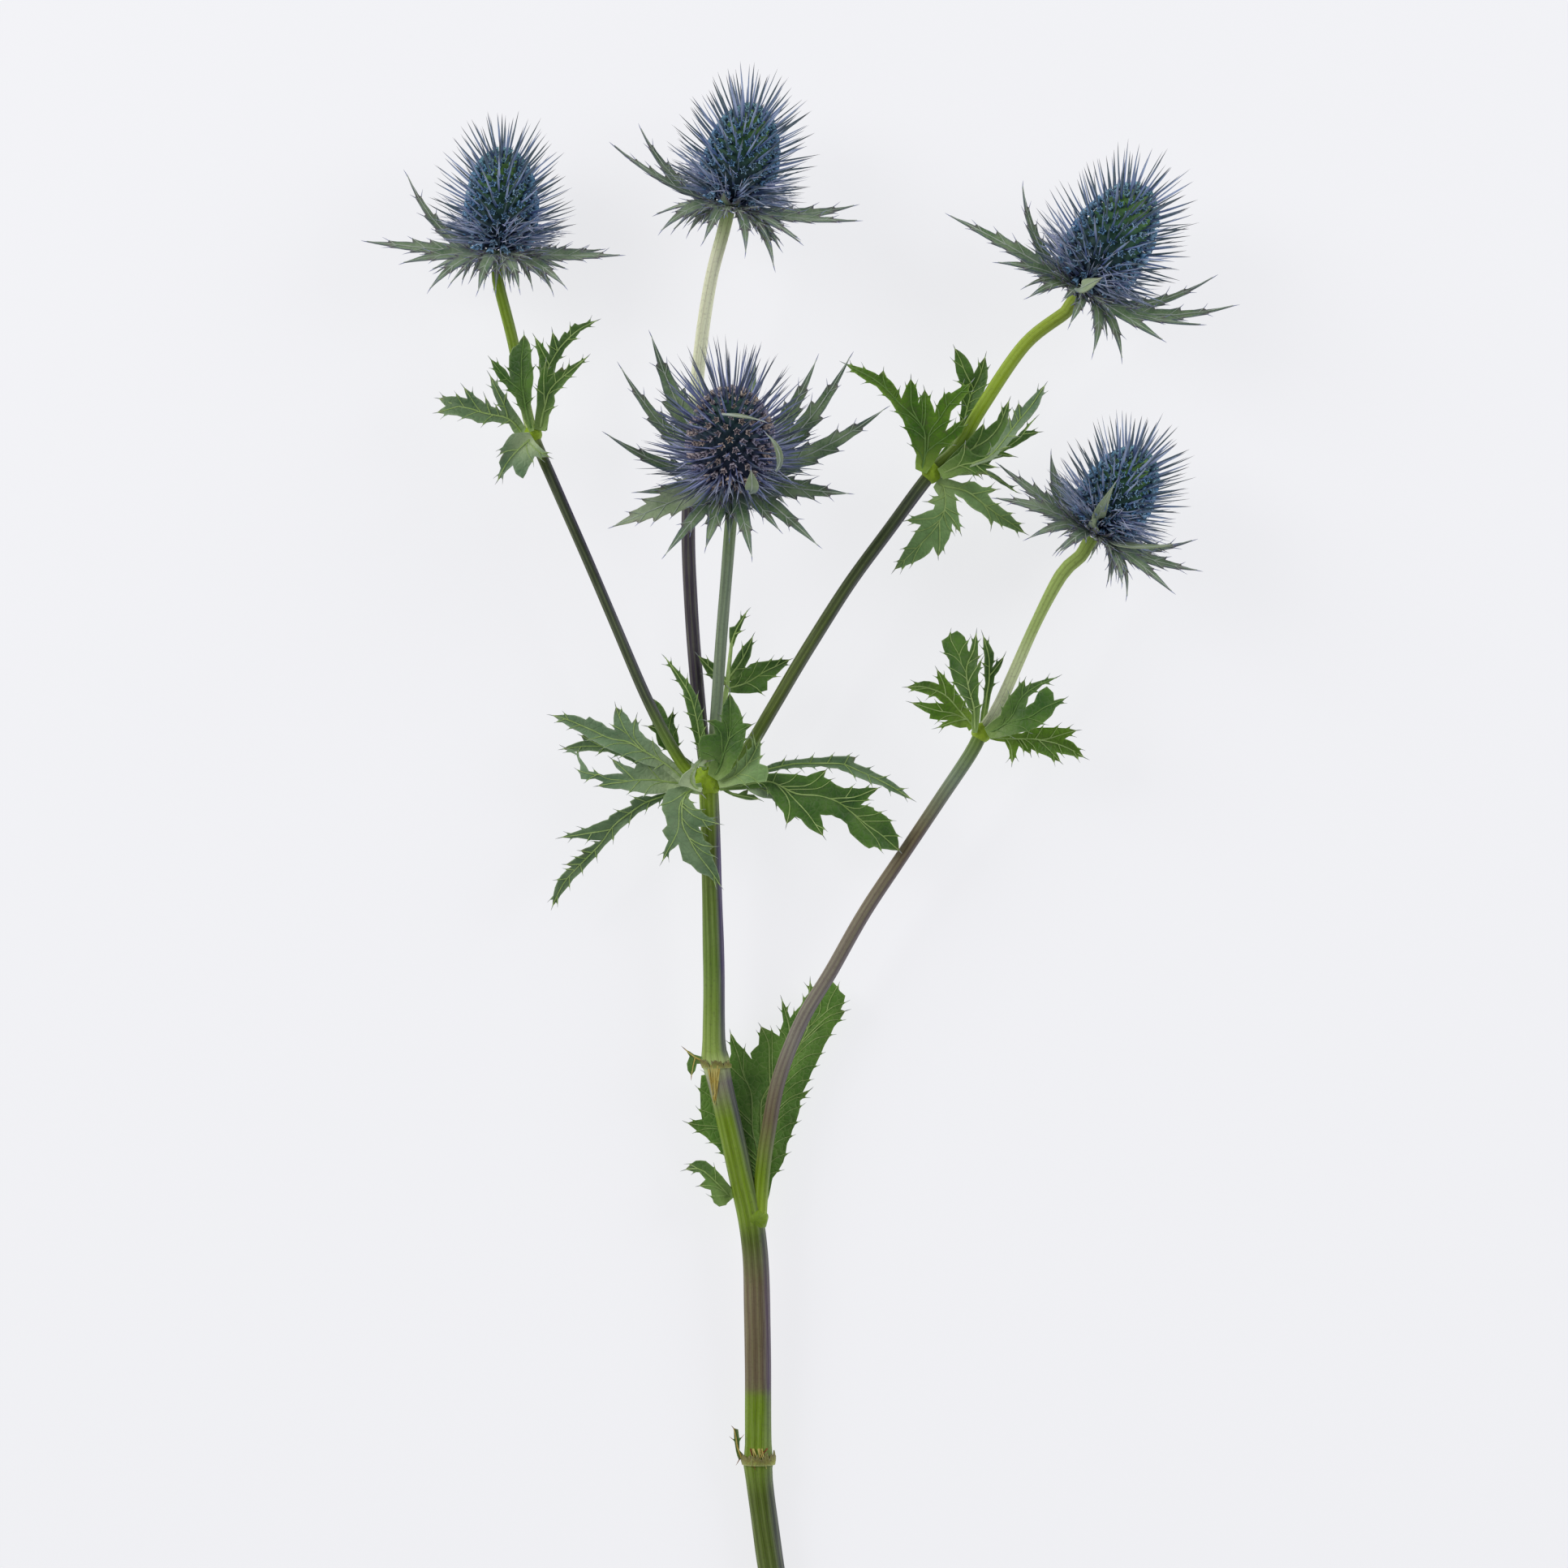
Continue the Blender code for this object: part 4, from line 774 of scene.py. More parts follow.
# Leaves: the node or seat that carries the leaf, the direction of its foot there, and its
# blades. A blade has its height above the seat, rise of the tip, arch in the middle, V fold,
# finish number, and outline in the floor's plane from the node. The last two leaves are what
# is left of two that were torn off.
LEAVES = {
    "left_leaf_side": ("left", (-0.95, 0.15, 0.15), [(0.0, -3.0, 2.0, 0.18, 0, (
        (-6.2, 2.6), (-10.4, 3.2), (-14.2, 2.8), (-15.8, 3.8), (-19.6, 4.8), (-24.8, 5.6), (-22.6, 7.2),
        (-24.4, 9.4), (-21.2, 9.8), (-16.8, 9.0), (-17.8, 12.0), (-14.6, 9.4), (-12.2, 7.6), (-12.2, 9.4),
        (-10.8, 7.0), (-7.8, 5.6), (-10.0, 10.0), (-11.0, 15.0), (-8.2, 11.4), (-5.6, 7.2)))]),
    "left_leaf_upright": ("left", (-0.15, 0.45, 0.9), [(0.0, 4.0, 1.0, 0.12, 0, (
        (-2.8, 5.6), (-4.2, 9.0), (-6.8, 12.2), (-9.0, 14.6), (-10.6, 18.8), (-6.8, 16.2), (-5.6, 14.0),
        (-5.8, 19.6), (-4.8, 21.8), (-3.6, 22.6), (-2.0, 25.2), (-0.6, 22.8), (-0.2, 18.0), (0.4, 14.0),
        (-0.2, 11.0), (-0.6, 6.2)))]),
    "left_leaf_long": ("left", (0.7, 0.65, -0.3), [(0.0, -2.0, 0.0, 0.15, 0, (
        (1.8, 9.6), (1.8, 15.6), (1.6, 19.6), (0.4, 25.2), (3.8, 21.2), (4.2, 20.4), (5.0, 26.4),
        (6.6, 24.0), (8.2, 26.6), (8.8, 26.2), (10.8, 28.8), (11.6, 28.4), (16.4, 29.6), (12.2, 26.8),
        (8.2, 22.2), (6.0, 18.4), (4.6, 13.0)))]),
    "left_leaf_right": ("left", (0.62, 0.55, 0.55), [(0.0, 3.0, 0.5, 0.15, 0, (
        (1.2, 7.2), (1.6, 13.4), (3.6, 18.4), (3.8, 13.0), (7.8, 17.0), (8.2, 16.2), (14.2, 19.6),
        (8.8, 13.4), (5.6, 9.8), (5.8, 8.2), (4.2, 4.6)))]),
    "left_leaf_hanging": ("left", (-0.25, -0.5, 0.85), [(0.0, 0.4, 1.0, 0.1, 0, (
        (-5.2, -0.2), (-6.8, -2.2), (-8.4, -5.6), (-7.2, -5.0), (-8.6, -7.6), (-8.2, -9.0), (-9.0, -12.2),
        (-6.8, -9.8), (-5.0, -8.2), (-4.2, -10.6), (-2.4, -11.8), (-1.0, -9.0), (0.6, -6.0), (4.4, -6.2),
        (2.2, -3.8)))]),
    "right_leaf_palm": ("right", (-0.7, 0.3, 0.62), [(0.0, 1.0, 3.0, 0.12, 0, (
        (-4.0, 4.4), (-5.6, 8.4), (-7.6, 13.4), (-10.8, 18.2), (-14.4, 22.0), (-19.2, 25.0),
        (-22.4, 28.0), (-16.0, 26.0), (-13.8, 24.8), (-12.6, 26.0), (-11.8, 24.2), (-10.0, 22.4),
        (-8.0, 18.6), (-5.6, 23.8), (-4.0, 21.0), (-3.6, 17.4), (-2.0, 21.0), (-0.4, 17.8), (0.6, 15.0),
        (1.8, 18.2), (4.2, 20.4), (4.8, 20.0), (10.0, 22.8), (8.2, 19.0), (4.8, 15.4), (3.4, 10.4),
        (8.2, 13.4), (7.4, 9.6), (2.6, 6.0)))]),
    "right_leaf_back": ("right", (0.2, 0.5, -0.84), [(0.0, -1.0, -1.0, 0.1, 0, (
        (3.6, 7.0), (7.4, 12.4), (7.8, 17.0), (8.2, 22.2), (6.4, 26.2), (6.0, 32.4), (8.6, 30.6),
        (10.2, 28.2), (11.0, 25.8), (14.0, 30.4), (14.6, 25.0), (13.4, 21.0), (11.8, 18.2), (10.2, 15.0),
        (9.0, 11.6), (5.2, 5.2)))]),
    "right_leaf_right": ("right", (0.85, -0.05, 0.52), [(0.9, 1.2, 0.8, 0.14, 0, (
        (6.9, 4.7), (8.4, 7.0), (10.3, 4.7), (12.3, 3.9), (15.8, 3.5), (14.6, 2.0), (16.6, 1.2),
        (13.8, 0.8), (14.6, -0.9), (11.5, 0.0), (12.3, -1.3), (9.2, 0.0), (6.9, -0.8))),
        (-0.7, 2.0, 0.4, 0.16, 0, (
        (10.3, 9.3), (12.3, 11.5), (13.3, 12.5), (13.8, 10.9), (15.6, 12.5), (16.8, 13.4), (17.3, 14.8),
        (19.9, 18.5), (19.5, 14.0), (19.7, 12.5), (18.9, 10.1), (17.3, 7.8), (16.2, 6.2), (14.2, 3.9),
        (11.5, 4.3))),
        (0.1, 4.2, 0.8, 0.3, 3, (
        (14.4, 4.4), (17.0, 7.8), (18.5, 10.5), (19.5, 12.5), (19.7, 14.2), (20.4, 13.0), (22.2, 17.5),
        (23.2, 16.5), (25.1, 18.7), (29.0, 22.2), (28.0, 18.7), (27.0, 16.3), (25.9, 14.8), (23.9, 12.6),
        (22.0, 10.5), (20.1, 7.8), (17.7, 5.5), (15.4, 3.0))),
        (-1.2, 0.6, 0.2, 0.1, 0, (
        (17.7, 6.2), (20.1, 8.2), (22.0, 9.3), (23.9, 11.3), (26.7, 14.0), (25.3, 12.1), (24.3, 10.8),
        (27.8, 10.4), (25.5, 9.3), (23.2, 7.8), (22.0, 7.0), (19.7, 6.0), (18.5, 5.3), (21.2, 4.1),
        (18.5, 4.1), (16.2, 3.5))),
        (-1.6, -1.4, 0.0, 0.15, 3, (
        (13.8, 0.8), (16.2, -0.2), (18.5, -1.9), (22.0, -5.0), (19.3, -3.5), (16.6, -1.9),
        (14.2, -0.2)))]),
    "right_leaf_hanging": ("right", (0.55, -0.8, 0.1), [(0.0, -2.0, 1.5, 0.08, 0, (
        (1.8, -6.0), (-1.2, -7.6), (0.8, -8.4), (0.4, -9.6), (-2.4, -10.6), (-6.6, -12.4), (-2.8, -13.6),
        (-6.0, -18.4), (-9.6, -25.0), (-3.2, -22.6), (-0.6, -20.8), (0.4, -19.2), (1.6, -21.8),
        (3.4, -18.8), (4.4, -17.2), (5.2, -13.2), (7.4, -15.6), (6.4, -9.2), (5.8, -5.4), (8.2, -6.8),
        (10.2, -9.0), (12.8, -10.4), (14.6, -12.0), (15.4, -14.0), (16.0, -12.4), (19.4, -14.0),
        (24.2, -15.6), (21.4, -12.0), (18.6, -9.6), (15.8, -7.6), (14.4, -5.6), (16.8, -4.4),
        (13.0, -3.8), (11.0, -2.4), (7.8, -2.8)))]),
    "low_leaf_broad": ("low", (-0.55, 0.25, 0.78), [(0.0, 2.0, 1.5, 0.12, 0, (
        (-2.6, 4.8), (-4.4, 8.2), (-6.4, 11.2), (-8.0, 14.6), (-8.6, 18.6), (-10.2, 21.8), (-10.6, 23.6),
        (-9.4, 24.4), (-6.6, 26.2), (-4.6, 24.6), (-3.8, 21.2), (-3.4, 20.8), (-1.6, 25.6), (-1.2, 21.2),
        (-1.6, 16.8), (-0.2, 19.0), (-1.2, 14.8), (-1.2, 9.2), (-0.6, 5.4)))]),
    "low_leaf_left": ("low", (-0.75, 0.6, -0.25), [(0.0, -2.0, 1.5, 0.06, 0, (
        (-3.8, 1.4), (-5.6, 1.2), (-8.0, 2.0), (-11.6, 1.2), (-8.8, 3.2), (-13.6, 3.6), (-13.4, 4.8),
        (-16.0, 6.2), (-18.2, 7.8), (-13.6, 7.6), (-9.6, 7.4), (-12.0, 9.4), (-15.4, 10.4), (-19.4, 11.8),
        (-15.0, 13.4), (-12.4, 13.0), (-11.0, 12.4), (-11.6, 16.4), (-8.6, 13.2), (-6.4, 10.4),
        (-3.8, 6.4)))]),
    "low_leaf_thin": ("low", (0.05, 0.55, -0.83), [(0.0, 0.6, -0.6, 0.1, 0, (
        (0.6, 9.2), (1.0, 12.8), (0.8, 19.6), (0.4, 25.2), (2.6, 21.8), (3.2, 20.6), (2.8, 16.8),
        (5.8, 19.8), (5.0, 17.2), (3.4, 14.6), (2.4, 9.8)))]),
    "low_leaf_cup": ("low", (0.62, 0.05, 0.78), [(0.0, 1.5, 2.5, 0.1, 0, (
        (4.6, 4.4), (6.0, 7.8), (8.0, 10.4), (10.8, 13.6), (11.0, 11.8), (14.4, 13.2), (19.2, 14.2),
        (15.4, 12.2), (11.8, 9.2), (11.0, 6.4), (13.2, 7.8), (14.6, 10.6), (16.6, 11.8), (18.2, 10.2),
        (18.4, 8.2), (21.4, 8.8), (18.8, 6.4), (17.8, 4.4), (13.8, 1.2), (9.0, -0.2), (5.4, -1.0)))]),
    "low_leaf_right": ("low", (0.92, -0.35, -0.1), [(0.0, -3.0, 1.0, 0.08, 0, (
        (6.6, -0.4), (10.4, -0.2), (13.8, 1.2), (20.8, 1.2), (24.6, 0.6), (21.4, -1.6), (23.8, -2.6),
        (26.6, -6.4), (19.2, -5.0), (20.4, -7.6), (16.8, -6.0), (12.8, -4.2), (12.6, -5.6), (9.6, -3.4),
        (9.0, -5.0), (7.8, -8.0), (7.0, -4.6), (6.0, -2.4)))]),
    "fork_leaf_left": ("fork", (-0.95, -0.2, -0.2), [(1.3, -1.2, 0.8, 0.16, 3, (
        (-11.8, 7.1), (-13.2, 9.2), (-16.0, 11.0), (-17.8, 13.0), (-18.6, 16.2), (-19.7, 14.8),
        (-20.9, 16.9), (-23.8, 19.0), (-24.4, 16.2), (-24.1, 13.0), (-26.1, 13.7), (-27.5, 15.0),
        (-29.2, 15.5), (-30.7, 16.5), (-31.7, 15.7), (-34.6, 16.9), (-40.2, 16.9), (-37.2, 14.8),
        (-33.4, 12.7), (-28.9, 9.9), (-24.4, 7.6), (-20.2, 6.1), (-16.0, 4.0), (-11.8, 3.3))),
        (-0.9, -2.2, -0.6, 0.05, 0, (
        (-14.6, 6.1), (-20.2, 7.5), (-25.0, 9.7), (-27.5, 11.0), (-30.4, 11.8), (-33.0, 11.7),
        (-32.3, 10.3), (-35.0, 9.5), (-37.8, 8.2), (-35.5, 7.6), (-31.0, 7.8), (-26.1, 7.5), (-22.6, 6.4),
        (-19.8, 5.0), (-17.4, 3.6), (-13.9, 3.3))),
        (0.5, -1.5, 0.3, 0.2, 3, (
        (-8.2, 1.2), (-10.1, 3.3), (-12.2, 4.0), (-14.6, 5.0), (-18.4, 4.4), (-19.1, 3.1), (-21.7, 4.0),
        (-24.9, 5.6), (-23.8, 3.3), (-21.9, 1.7), (-24.8, 1.7), (-27.1, 1.4), (-30.8, 2.4), (-32.5, 5.0),
        (-35.1, 8.0), (-37.4, 8.6), (-34.1, 6.6), (-33.1, 4.0), (-32.9, 0.4), (-29.2, 0.5), (-27.1, -0.4),
        (-28.5, -1.4), (-25.7, -2.0), (-22.6, -2.1), (-18.4, -2.9), (-14.6, -3.5), (-11.6, -3.2))),
        (0.2, -1.9, 0.2, 0.28, 0, (
        (-11.6, -3.3), (-14.6, -4.2), (-17.1, -4.0), (-20.2, -5.5), (-19.7, -6.5), (-25.4, -9.2),
        (-25.8, -10.1), (-28.4, -11.0), (-31.0, -12.2), (-37.9, -14.7), (-33.8, -14.8), (-27.5, -15.5),
        (-30.6, -17.2), (-32.9, -18.2), (-32.2, -19.0), (-36.7, -21.8), (-35.3, -22.3), (-38.0, -24.6),
        (-39.7, -27.8), (-40.4, -32.6), (-38.3, -29.8), (-35.0, -25.6), (-31.0, -21.6), (-26.8, -16.9),
        (-22.8, -12.6), (-18.1, -8.4), (-11.1, -4.4)))]),
    "fork_leaf_front": ("fork", (-0.5, -0.45, 0.74), [(0.0, 0.4, 1.2, 0.22, 0, (
        (-10.2, -2.3), (-11.4, -4.2), (-11.8, -7.5), (-10.9, -9.2), (-10.4, -11.5), (-11.7, -12.9),
        (-10.1, -15.5), (-10.9, -17.4), (-11.6, -20.7), (-9.6, -18.1), (-7.5, -16.4), (-6.9, -18.6),
        (-6.4, -20.7), (-4.2, -21.8), (-2.6, -23.5), (0.2, -24.7), (3.2, -27.1), (2.8, -24.2),
        (1.7, -21.3), (0.4, -18.1), (1.6, -17.1), (-0.8, -15.5), (-2.4, -12.0), (2.8, -11.2),
        (-0.1, -9.2), (-3.1, -7.2), (-5.0, -4.6), (-4.4, -3.2))),
        (1.4, 0.8, 0.4, 0.3, 3, (
        (-5.0, -1.8), (-6.9, -1.4), (-7.6, -0.9), (-6.6, 1.2), (-4.5, 2.9), (-2.4, 5.4), (-0.1, 7.6),
        (-1.0, 5.6), (0.2, 5.0), (-2.8, 3.3), (-3.4, 0.9), (-3.1, -1.6)))]),
    "fork_leaf_long": ("fork", (0.92, 0.1, -0.36), [(0.0, -0.6, -0.6, 0.14, 0, (
        (15.3, 3.7), (17.7, 4.7), (24.2, 5.5), (29.3, 5.9), (35.0, 6.3), (38.3, 6.0), (37.8, 4.6),
        (39.4, 3.9), (43.5, 1.9), (48.1, -0.5), (52.8, -4.8), (49.5, -3.6), (45.2, -1.4), (40.5, 0.2),
        (36.3, 2.1), (33.6, 3.1), (29.3, 3.7), (25.6, 3.5), (22.4, 3.3), (19.1, 3.0), (16.2, 2.2)))]),
    "fork_leaf_big": ("fork", (0.8, -0.4, 0.45), [(0.0, 0.2, 1.5, 0.16, 0, (
        (15.5, 1.7), (20.6, 1.7), (25.6, 1.1), (28.0, 2.1), (30.6, 2.7), (30.0, 0.9), (33.1, -1.1),
        (35.2, -2.0), (39.0, -2.1), (44.1, -1.9), (41.9, -3.9), (39.5, -6.3), (42.8, -7.0), (43.1, -7.7),
        (46.2, -9.3), (48.2, -12.6), (49.3, -15.8), (49.5, -18.1), (46.6, -17.8), (43.0, -17.1),
        (41.7, -17.6), (39.4, -16.0), (37.6, -14.4), (36.7, -13.5), (36.0, -11.3), (34.3, -9.9),
        (32.0, -8.9), (29.1, -8.8), (29.6, -10.6), (29.8, -14.3), (27.8, -13.3), (26.2, -12.4),
        (24.1, -10.0), (22.6, -9.3), (20.4, -11.2), (19.6, -8.4), (18.1, -6.6), (17.0, -4.6),
        (15.5, -1.7))),
        (-1.0, 0.6, 0.0, 0.1, 0, (
        (5.6, -3.0), (7.9, -3.4), (10.5, -2.3), (10.2, -3.6), (11.9, -3.7), (13.4, -4.9), (11.2, -5.1),
        (8.6, -4.6), (6.5, -4.0)))]),
    "fork_leaf_middle": ("fork", (0.38, 0.3, 0.88), [(0.0, 5.0, 0.5, 0.16, 0, (
        (0.9, 5.5), (-1.7, 5.5), (-2.3, 9.5), (-1.8, 11.3), (0.7, 11.9), (2.0, 12.0), (1.6, 14.0),
        (-0.3, 15.4), (2.1, 15.7), (3.7, 15.0), (3.9, 19.2), (4.9, 21.0), (5.7, 22.5), (7.0, 20.3),
        (8.3, 18.0), (9.1, 14.8), (11.6, 14.4), (9.9, 12.9), (9.2, 9.3), (8.3, 6.6), (6.7, 4.4),
        (5.9, 2.2)))]),
    "fork_leaf_folded": ("fork", (0.72, -0.05, 0.69), [(0.0, 2.0, 1.0, 0.16, 0, (
        (6.1, 2.6), (9.0, 5.9), (11.4, 8.7), (11.7, 11.9), (12.4, 9.3), (13.6, 10.9), (13.3, 4.4),
        (15.4, 3.7), (15.7, 1.9), (15.1, -0.3), (11.9, -0.4), (7.9, -0.9))),
        (-0.7, -0.6, 0.6, 0.1, 3, (
        (7.9, -0.2), (11.9, 0.2), (14.8, 0.0), (17.1, -1.6), (20.6, -3.6), (18.1, -3.6), (19.1, -5.7),
        (22.4, -9.3), (19.1, -7.2), (16.6, -4.7), (14.4, -4.5), (11.5, -3.2), (9.4, -1.7)))]),
    "fork_leaf_behind": ("fork", (-0.52, 0.52, -0.68), [(0.0, -1.6, 0.0, 0.1, 0, (
        (-9.7, 7.5), (-12.9, 9.2), (-13.6, 12.3), (-15.8, 14.1), (-14.4, 14.4), (-14.3, 17.9),
        (-14.6, 21.4), (-12.5, 20.0), (-11.1, 17.7), (-10.5, 16.2), (-9.1, 18.1), (-8.9, 14.8),
        (-7.7, 11.0), (-7.9, 7.5)))]),
    "fork_leaf_spike": ("fork", (-0.2, 0.75, 0.62), [(0.0, 1.5, 0.6, 0.1, 0, (
        (-2.6, 8.4), (-4.4, 15.2), (-6.4, 23.4), (-11.0, 31.8), (-4.4, 24.6), (-2.0, 19.6), (-0.6, 11.4),
        (0.2, 6.4)))]),
    "stem_leaf_big": ("branch", (0.25, 0.62, -0.75), [(0.0, -1.0, -0.6, 0.02, 0, (
        (4.6, 10.4), (7.4, 14.6), (8.4, 19.4), (9.8, 23.0), (11.4, 27.2), (11.8, 30.6), (14.4, 33.4),
        (12.4, 32.6), (14.8, 38.0), (18.2, 45.2), (20.6, 49.8), (23.6, 54.0), (22.4, 54.4), (23.6, 58.0),
        (22.2, 59.2), (20.2, 61.8), (17.8, 60.2), (15.8, 56.8), (14.4, 61.8), (14.0, 58.6), (12.0, 55.4),
        (9.2, 52.2), (7.0, 57.2), (7.4, 51.2), (6.4, 47.4), (1.6, 50.0), (1.0, 45.2), (-1.2, 43.0),
        (-0.8, 41.4), (-4.8, 46.0), (-6.4, 48.4), (-6.2, 42.8), (-7.6, 38.0), (-14.0, 37.2),
        (-14.2, 31.0), (-13.8, 25.8), (-17.6, 24.8), (-12.8, 21.2), (-10.0, 18.8), (-5.8, 13.8),
        (-1.6, 9.4)))]),
    "stem_leaf_curled": ("curl", (-0.98, 0.05, -0.15), [(0.0, -1.0, 2.0, 0.15, 0, (
        (-5.1, 4.3), (-6.9, 6.5), (-10.3, 9.5), (-12.9, 9.5), (-15.5, 7.1), (-11.9, 6.5), (-10.3, 4.7),
        (-11.9, 3.1), (-8.9, 2.1), (-8.1, -1.3), (-6.7, -2.3), (-4.9, -1.9)))]),
    "torn_leaf": ("scar", (-0.95, 0.05, 0.3), [(0.0, 0.0, 0.0, 0.0, 0, (
        (-5.6, 1.7), (-7.8, 3.0), (-6.7, 1.2), (-7.4, -0.6), (-7.2, -2.4), (-6.2, -3.8), (-5.2, -2.4),
        (-4.8, -0.7)))]),
    "torn_stub": ("foot", (-0.97, 0.1, 0.2), [(0.0, 1.0, 0.0, 0.0, 0, (
        (-5.8, 2.4), (-6.4, 8.4), (-5.3, 8.1), (-4.9, 2.6)))]),
}

# %% [markdown]
# Real veins run down the middle of each lobe and join on the way to the foot. The same
# thing happens if every point of the leaf looks for its cheapest way home, where it costs
# more to go near the margin. So the leaf is covered with a grid, one search spreads from
# the foot, and each tip follows its way back until it meets a vein that is already there.


# %% Margins
CORNER_SHARPNESS = 0.15     # how closely two sides must point the same way to make a tip
BARE_FOOT = 2               # millimetres round the seat where the margin has no teeth
BOW_SHARE = 0.04            # how far a margin's side bows out, as a share of its length
BOW_MOST = 0.15


def sharp_corners(loop):
    """Pointed outer corners of a closed outline: number, point and the way that it points."""
    turn = sum(a.cross(b) for a, b in zip(loop, loop[1:] + loop[:1]))
    found = []
    for number, point in enumerate(loop):
        back = (loop[number - 1] - point).normalized()
        on = (loop[(number + 1) % len(loop)] - point).normalized()
        if on.cross(back) * turn > 0 and on.dot(back) > CORNER_SHARPNESS:
            found.append((number, point, -(on + back).normalized()))
    return found


def leaf_margin(loop, start, tooth, pitch, rng):
    """The outline with bowed sides and small teeth, and the tip and direction of each tooth."""
    turn = sum(a.cross(b) for a, b in zip(loop, loop[1:] + loop[:1]))
    points, teeth = [], []
    for p, q in zip(loop, loop[1:]):
        run = q - p
        length = run.length
        run = run.normalized()
        out = Vector((run.y, -run.x)) if turn > 0 else Vector((-run.y, run.x))
        ahead = 1.0 if (q - start).length > (p - start).length else -1.0
        away = min((p - start).length, (q - start).length) > BARE_FOOT
        count = int(length / pitch) if away else 0
        bow = min(BOW_MOST, BOW_SHARE * length)

        def on_edge(reach, height=0.0):
            share = reach / length
            return p + run * reach + out * (bow * 4 * share * (1 - share) + height)

        marks = [(0.0, 0.0)]
        for number in range(count):
            middle = length * (number + 0.5 + rng.uniform(-0.15, 0.15)) / count
            size = tooth * rng.uniform(0.7, 1.2)
            three = [(middle - ahead * size, 0.0), (middle + ahead * size * 0.6, size),
                     (middle + ahead * size * 0.35, 0.0)]
            marks += three if ahead > 0 else three[::-1]
            teeth.append((on_edge(*three[1]), (out + run * ahead).normalized()))
        if not count and length > 2.5:
            marks.append((length / 2, 0.0))
        points += [on_edge(*mark) for mark in marks]
    return points + [loop[-1]], teeth


# %% Veins
MARGIN_PRICE = 3.0          # how much dearer a vein's way becomes near the margin
SMOOTHING = 8               # how often a vein's route is smoothed
NEIGHBOURS = ((1, 0), (-1, 0), (0, 1), (0, -1), (1, 1), (1, -1), (-1, 1), (-1, -1))


def leaf_grid(loop, spacing):
    """A grid's points inside a closed outline, and each one's distance from the margin."""
    edge = np.array([tuple(p) for p in loop])
    follow = np.roll(edge, -1, axis=0)
    low, high = edge.min(0), edge.max(0)
    across = np.arange(low[0] + spacing / 2, high[0], spacing)
    up = np.arange(low[1] + spacing / 2, high[1], spacing)
    grid = np.array([(x, y) for x in across for y in up])
    run = follow - edge
    offset = grid[:, None] - edge[None]
    share = np.clip((offset * run).sum(2) / (run ** 2).sum(1), 0, 1)
    room = np.linalg.norm(offset - share[..., None] * run, axis=2).min(1)
    spans = (edge[None, :, 1] > grid[:, None, 1]) != (follow[None, :, 1] > grid[:, None, 1])
    with np.errstate(divide="ignore", invalid="ignore"):
        meets = edge[:, 0] + (grid[:, None, 1] - edge[:, 1]) * run[:, 0] / run[:, 1]
    inside = (spans & (grid[:, None, 0] < meets)).sum(1) % 2 == 1
    cells = {divmod(k, len(up)): room[k] for k in np.nonzero(inside)[0]}
    return cells, {cell: Vector((across[cell[0]], up[cell[1]])) for cell in cells}


def ways_home(cells, home):
    """For each cell of the grid, the cell before it on its cheapest way home."""
    before, cost, heap = {home: None}, {home: 0.0}, [(0.0, home)]
    while heap:
        spent, cell = heapq.heappop(heap)
        if spent > cost[cell]:
            continue
        for i, j in NEIGHBOURS:
            other = (cell[0] + i, cell[1] + j)
            if other not in cells:
                continue
            near = MARGIN_PRICE / (cells[other] + 0.35) ** 1.5
            price = spent + math.hypot(i, j) * (1.0 + near)
            if price < cost.get(other, math.inf):
                cost[other], before[other] = price, cell
                heapq.heappush(heap, (price, other))
    return before


def vein_paths(loop, root, tips, spacing):
    """Flat vein routes, foot first, from each tip back to a vein that is already there."""
    cells, spots = leaf_grid(loop, spacing)

    def nearest(point):
        return min(cells, key=lambda cell: (spots[cell] - point).length)

    before = ways_home(cells, nearest(root))
    placed, paths = {}, []
    for tip, outward, inset in tips:
        cell = nearest(tip - outward * inset)
        if cell not in before:
            continue
        chain = []
        while cell is not None and cell not in placed:
            chain.append(cell)
            cell = before[cell]
        if len(chain) < 2:
            continue
        joint = placed[cell] if cell is not None else root
        route = [joint] + [spots[c] for c in reversed(chain)] + [tip]
        for turn in range(SMOOTHING):
            middle = [(a + b * 2 + c) / 4 for a, b, c in zip(route, route[1:], route[2:])]
            route = [route[0]] + middle + [route[-1]]
        for c, spot in zip(reversed(chain), route[1:]):
            placed[c] = spot
        paths.append(route)
    return paths


# %% [markdown]
# A blade is the part shared by leaves and bracts. The outline becomes one face, bisected
# again and again into a grid, so that it can bend. A place function then says where each
# flat point lies in space. Veins are fine half-sunk tubes on the same surface.

# %% Blades
BLADE_WALL = 0.32           # millimetres
GRID_SNAP = 0.03            # a cut this near to a point goes through it
TIP_REACH = 1.6             # how far a tip's brown runs back from it
RIB_GLOW = 0.9              # how far the paler green reaches from the main rib
VEIN_LIFT = BLADE_WALL / 2 + 0.08


def blade_layers(bm):
    """The numbers that a blade's finish reads at each vertex."""
    return [bm.verts.layers.float.new(name) for name in ("edge", "foot", "tip", "rib")]


